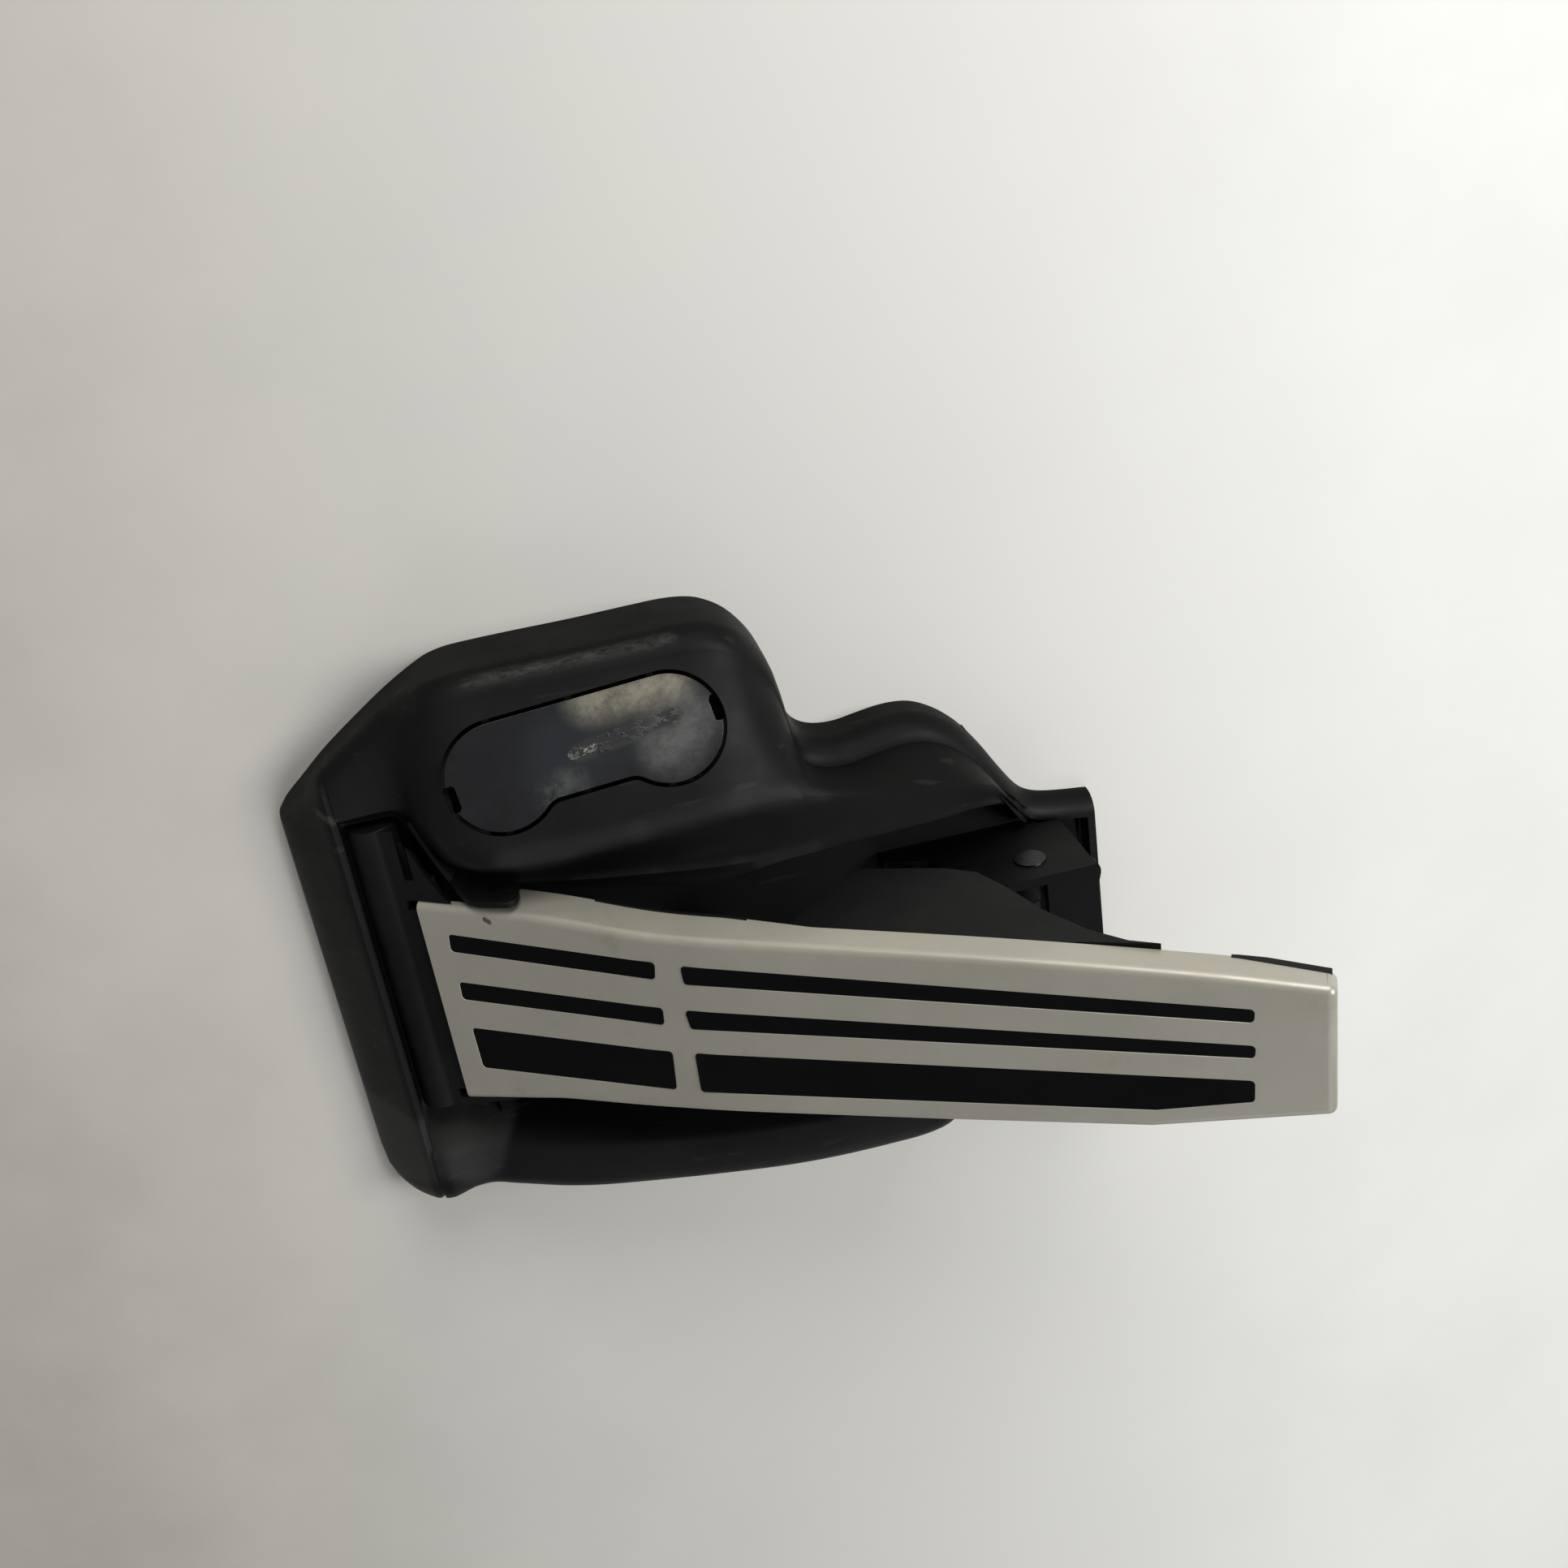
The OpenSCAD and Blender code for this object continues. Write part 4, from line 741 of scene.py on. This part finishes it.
trim_steps = (spaced([0, 8, 16, 20], 2) + spaced([21, 22.6], 0.4)
              + spaced([24, 36, 45, 75, 80, 95, 185, 190], 3))
rings = [trim_ring(s) for s in trim_steps] + [trim_ring(toe_s - 0.02)]
rings += [toe_ring(math.radians(a), 0) for a in range(0, 91, 9)] + [toe_ring(math.pi / 2, 6 - TR)]
trim = loft("trim_plate_formed", rings)
heel_slots = [
    [[6.9, 19.6], [59.9, 16.4], [59.5, 11.9], [6.6, 14.8]],
    [[6.4, 6.3], [59.6, 4.2], [59.4, -0.4], [6.2, 1.4]],
    [[6.6, -6.8], [59.8, -7.8], [59.1, -18.5], [6.8, -18.4]]]
toe_slots = [
    [[66.1, 15.7], [188.5, 8.6], [188.4, 5.4], [66.2, 10.9]],
    [[65.2, 3.9], [188.5, -0.3], [188.4, -3.4], [65.6, -1.1]],
    [[65.4, -7.8], [188.2, -9.1], [188.1, -14.6], [168.8, -17.7], [65.2, -18.6]]]


def slot_outline(corners, r):
    """A slot with round corners; the first two are on its upper side, the rest on its lower."""
    mean = sum(c[0] for c in corners) / len(corners)
    pts = []
    for i, c in enumerate(corners):
        at = (c[0] + (1 if c[0] < mean else -1), c[1] + (-1 if i < 2 else 1))
        pts += [(round(a, 5), round(b, 5)) for a, b in ring_of(*at, r, 24)]
    return hull(pts)


heel_frame = Matrix.Translation(Vector((HX, 0, HZ))) @ Matrix.Rotation(-HEEL, 4, "Y")
toe_frame = (Matrix.Translation(Vector((arc_q[0], 0, arc_q[1]))) @ Matrix.Rotation(-TOE, 4, "Y")
             @ Matrix.Translation(Vector((-BEND0 - BLEN, 0, 0))))
slots = [(c, heel_frame) for c in heel_slots] + [(c, toe_frame) for c in toe_slots]
SLOT_R, FLARE_R, BAR_R = 1, 1.12, 0.94
slot_cuts = []
for c, where in slots:
    straight_line, flare = slot_outline(c, SLOT_R), slot_outline(c, FLARE_R)
    if len(flare) == len(straight_line):
        levels = [(-2.2, straight_line), (-0.12, straight_line), (0.02, flare), (1.0, flare)]
        slot_cuts.append(loft("s", [[tuple(where @ Vector((x, y, w))) for x, y in line]
                                    for w, line in levels]))
    else:
        slot_cuts.append(prism("s", straight_line, -2.2, 1, where))
combine(trim, slot_cuts)
soften(trim, 28)
bars = [prism("bar", slot_outline(c, BAR_R), -1.6, -0.05, where) for c, where in slots]


def mat_ring(s):
    lo, hi = plate(s, TT + 0.02), plate(s, TT + 1.18)
    yu, yl = curve(edge_up, s) - 3.6, 3.6 - straight(edge_low, s)
    return [(lo[0], yu, lo[1]), (lo[0], yl, lo[1]), (hi[0], yl, hi[1]), (hi[0], yu, hi[1])]


mat_piece = combine(loft("rubber_mat_bars", [mat_ring(s) for s in spaced([4.4, 198], 6)]), (), bars)
soften(mat_piece, 30)


def strip_ring(s, h):
    """The carrier's visible rim, which stands h below the plate's turned-down edge."""
    d, yu = straight(flange, s), curve(edge_up, s)
    inner, chamfer, outer = yu - 1.6, yu + 0.12, yu + 0.28
    section_pts = ((inner, d - 0.6), (chamfer, d - 0.6), (outer, d - 0.4), (outer, d + h),
                   (inner, d + h))
    out = []
    for y, e in section_pts:
        q = plate(s, e)
        out.append((q[0], y, q[1]))
    return out


strips = [loft("edge_strip_heel", [strip_ring(s, 0.35) for s in spaced([42, 80], 3)]),
          loft("edge_strip_toe", [strip_ring(s, 0.2 + 0.9 * min(1, (s - 184) / 7))
                                  for s in spaced([184, 203.6], 1.4)])]


def trim_material():
    """Satin grey-beige metal with grime, dark specks and the one dent near the heel."""
    t = Tree("satin_trim")
    cloud = t.remap(t.noise(22, 5, 0.6), 0.3, 0.7)
    color = t.mix(cloud, rgb("a19d90"), rgb("aca99d"))
    grime = t.math("MULTIPLY", t.remap(t.noise(75, 7, 0.75), 0.58, 0.78), 0.5)
    color = t.mix(grime, color, rgb("8a8473"))
    specks = t.remap(t.voronoi(330), 0.03, 0.015)
    color = t.mix(t.math("MULTIPLY", specks, 0.5), color, rgb("4c483e"))
    dent = t.near((21.4, 24.5, 31.5), (22.2, 23.9, 32.0), 0.3, 1.0)
    color = t.mix(t.math("MULTIPLY", dent, 0.85), color, rgb("3f3524"))
    brushed = t.noise(1500, 3, 0.6, (0.05, 1, 0.4))
    r = t.remap(t.noise(130, 4, 0.6), 0.3, 0.7, 0.34, 0.46)
    normal = t.bump(brushed, 0.10, 0.00002)
    normal = t.bump(t.noise(900, 3, 0.6), 0.18, 0.00003, normal)
    normal = t.bump(t.math("SUBTRACT", 1.0, dent), 0.8, 0.0004, normal)
    return t.set(color, r, normal, Metallic=0.35)


dress(trim, trim_material(), "pedal", ["trim_plate"])
rubber = plastic("rubber", "050505", "080808", 0.72, 1400, 0.12, None, 0.08)
dress(mat_piece, rubber, "pedal", ["rubber_mat"])


# Springs as round wire
COIL_STEPS, WIRE_SIDES = 30, 12


def coil(name, x, y, z0, z1, r, wire, turns):
    """Round wire wound to the outer radius r between the heights z0 and z1."""
    rows, half = turns * COIL_STEPS, wire / 2
    around = [2 * math.pi * j / WIRE_SIDES for j in range(WIRE_SIDES)]
    rings = []
    for i in range(rows + 1):
        a = 2 * math.pi * i / COIL_STEPS
        z = z0 + half + (z1 - z0 - wire) * i / rows
        ring = []
        for b in around:
            q = r - half + half * math.cos(b)
            ring.append((x + q * math.cos(a), y + q * math.sin(a), z + half * math.sin(b)))
        rings.append(ring)
    return soften(loft(name, rings), 50)


steel = metal("spring_wire", "8f9294", "6c6f72", 0.3, (1, 1, 1), 500)


def sprung(name, *shape, node, joint, keep):
    """A coil that takes the place of a node; its joint and keep are not used."""
    obj = coil(name, *shape)
    dress(obj, steel, "base", [node])
    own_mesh(obj)


sprung("return_spring_outer_wire", 136, -12, 6.7, 27.8, 7.5, 1.6, 6,
       node="return_spring_outer", joint="lever_pivot", keep=0.4)
sprung("return_spring_inner_wire", 136, -12, 6.7, 27.8, 4.6, 1.1, 8,
       node="return_spring_inner", joint="lever_pivot", keep=0.4)
sprung("kickdown_spring_wire", 70, -16, 4.7, 12.5, 3.8, 0.8, 4,
       node="kickdown_spring", joint="kickdown_slide", keep=0.49)


# Materials of the CAD nodes that stay
WELD_M, BEVEL_ANGLE = 2e-6, math.radians(35)


def edged(name, mat, width):
    """A CAD node's material, and a small bevel (width in millimetres) on its sharp edges."""
    o = nodes[name]
    o.data.materials.clear()
    o.data.materials.append(mat)
    weld = o.modifiers.new("weld", "WELD")
    weld.merge_threshold = WELD_M
    b = o.modifiers.new("bevel", "BEVEL")
    b.width = width * MM
    b.segments = 2
    b.limit_method = "ANGLE"
    b.angle_limit = BEVEL_ANGLE
    b.harden_normals = False


def carrier_worn(t, color, r, normal):
    """Dust on the carrier's sides that face up."""
    dusty = t.math("MULTIPLY", t.facing((-0.5, 0.2, 0.8), 0.6, 0.98),
                   t.remap(t.noise(35, 6, 0.7), 0.35, 0.75))
    color = t.mix(t.math("MULTIPLY", dusty, 0.2), color, rgb("2c2c2b"))
    return color, r, normal


carrier_mat = plastic("carrier_plastic", "070708", "0b0b0c", 0.52, 2200, 0.14, carrier_worn, 0.13)
edged("pedal_carrier", carrier_mat, 0.3)
housing_mat = plastic("housing_plastic", "060607", "09090a", 0.55, 2000, 0.1, None, 0.1)
edged("mechanism_housing", housing_mat, 0.3)
edged("lever", plastic("lever_plastic", "161618", "1e1e20", 0.42, 1800, 0.08, None, 0.3), 0.3)
edged("roller", plastic("acetal_roller", "b9b3a0", "cbc6b4", 0.35, 1500, 0.12), 0.2)
edged("spring_seat", plastic("acetal_seat", "b4ae9b", "c8c2b0", 0.38, 1500, 0.12), 0.2)
edged("friction_shoe", plastic("friction_lining", "3a2f20", "4c4030", 0.8, 900, 0.3), 0.2)
edged("rest_bumper", plastic("bumper_rubber", "0d0d0d", "151515", 0.75, 1200, 0.2), 0.4)
edged("sensor_rotor", plastic("rotor_plastic", "2c2d31", "38393e", 0.45, 1600, 0.06), 0.2)
edged("sensor_cover", plastic("cover_plastic", "0e0e0f", "151516", 0.45, 2000, 0.2), 0.4)
edged("cover_seal", plastic("seal_rubber", "5a2a1a", "6c3622", 0.65, 1400, 0.1), 0.1)
edged("rotor_magnet", metal("ferrite", "3c3c3e", "29292b", 0.5, (1, 1, 1), 900, 0.6), 0.1)
edged("lever_shaft", metal("ground_shaft", "3c3d3f", "2c2d2f", 0.35, (1, 0.05, 1), 900), 0.2)
edged("roller_pin", metal("hard_pin", "b0b2b4", "8e9093", 0.22, (1, 0.05, 1), 900), 0.2)
edged("mount_bushes", metal("zinc_bush", "a6a493", "87867a", 0.38, (1, 1, 1), 260), 0.3)
edged("housing_screws", plastic("black_screw", "0b0b0b", "131312", 0.6, 900, 0.1, None, 0.1), 0.15)
edged("cover_screws", metal("zinc_screw_b", "a9a79a", "7f7d72", 0.36, (1, 1, 1), 420), 0.15)
edged("connector_pins", metal("tinned_pin", "c6c4b8", "a09e92", 0.3, (1, 1, 1), 600), 0.05)
edged("kickdown_sleeve", plastic("sleeve_plastic", "8f8c80", "a3a094", 0.45, 1500, 0.15), 0.2)
edged("kickdown_plunger", plastic("plunger_plastic", "1f1f21", "2a2a2d", 0.4, 1500, 0.1), 0.2)


def board_material():
    """Green lacquer over faint tracks."""
    t = Tree("board_lacquer")
    color = t.mix(t.remap(t.noise(220, 3, 0.5), 0.45, 0.55), rgb("0f3b22"), rgb("17502f"))
    tracks = t.remap(t.noise(500, 1, 0.3, (1, 1, 3)), 0.49, 0.51)
    color = t.mix(t.math("MULTIPLY", tracks, 0.35), color, rgb("3c7a4c"))
    r = t.remap(t.noise(90, 2, 0.5), 0.3, 0.7, 0.25, 0.4)
    return t.set(color, r, t.bump(tracks, 0.3, 0.00003))


edged("sensor_board", board_material(), 0.1)

# parts of the carrier's visible rim: the heel corner and the strips under the plate's edge
pad = prism("wing_pad", [(3.6, 29.4), (6.4, 29.4), (6.8, 36), (5.8, 41), (3.6, 41)], 14.4, 16.2)
for o in [pad] + strips:
    dress(soften(o), carrier_mat, "pedal")

# Crumbs of dirt in the groove
crumb_mat = plastic("dry_dirt", "7d7a70", "a5a297", 0.85, 1500, 0.1)


def crumbs():
    """Small uneven grains along the hinge groove."""
    spots = []
    for _ in range(26):
        t = random.random()
        x = -6.2 + 0.5 * random.random()
        spots.append((x, 12 - 42 * t, 3.02, 0.10 + 0.22 * random.random() ** 2))
    bm = bmesh.new()
    for x, y, z, r in spots:
        made = bmesh.ops.create_icosphere(bm, subdivisions=2, radius=r * MM)
        for v in made["verts"]:
            v.co *= 0.75 + 0.5 * random.random()
            v.co.z *= 0.7
            v.co += Vector((x, y, z + 0.4 * r)) * MM
    mesh = bpy.data.meshes.new("groove_crumbs")
    bm.to_mesh(mesh)
    bm.free()
    obj = bpy.data.objects.new("groove_crumbs", mesh)
    scene.collection.objects.link(obj)
    soften(obj, 60)
    dress(obj, crumb_mat, "base")


crumbs()

# Floor
FLOOR_LOW, FLOOR_HIGH = -1500, 1800
floor = new_object("floor", [(FLOOR_LOW, FLOOR_LOW, 0), (FLOOR_HIGH, FLOOR_LOW, 0),
                             (FLOOR_HIGH, FLOOR_HIGH, 0), (FLOOR_LOW, FLOOR_HIGH, 0)], [(0, 1, 2, 3)])
t = Tree("pale_floor")
# painted shade: the floor's colour darkens towards -X and pales towards +X
x_of_painted_shade = t.add("ShaderNodeSeparateXYZ", Vector=t.place).outputs["X"]
color = t.mix(t.remap(x_of_painted_shade, -0.14, 0.26), rgb("a4a098"), rgb("e4e4e1"))
cloud = t.remap(t.noise(14, 5, 0.6), 0.35, 0.7)
color = t.mix(t.math("MULTIPLY", cloud, 0.25), color, rgb("d3d1c8"))
floor.data.materials.append(t.set(color, t.remap(t.noise(30, 4, 0.6), 0.3, 0.7, 0.55, 0.7)))
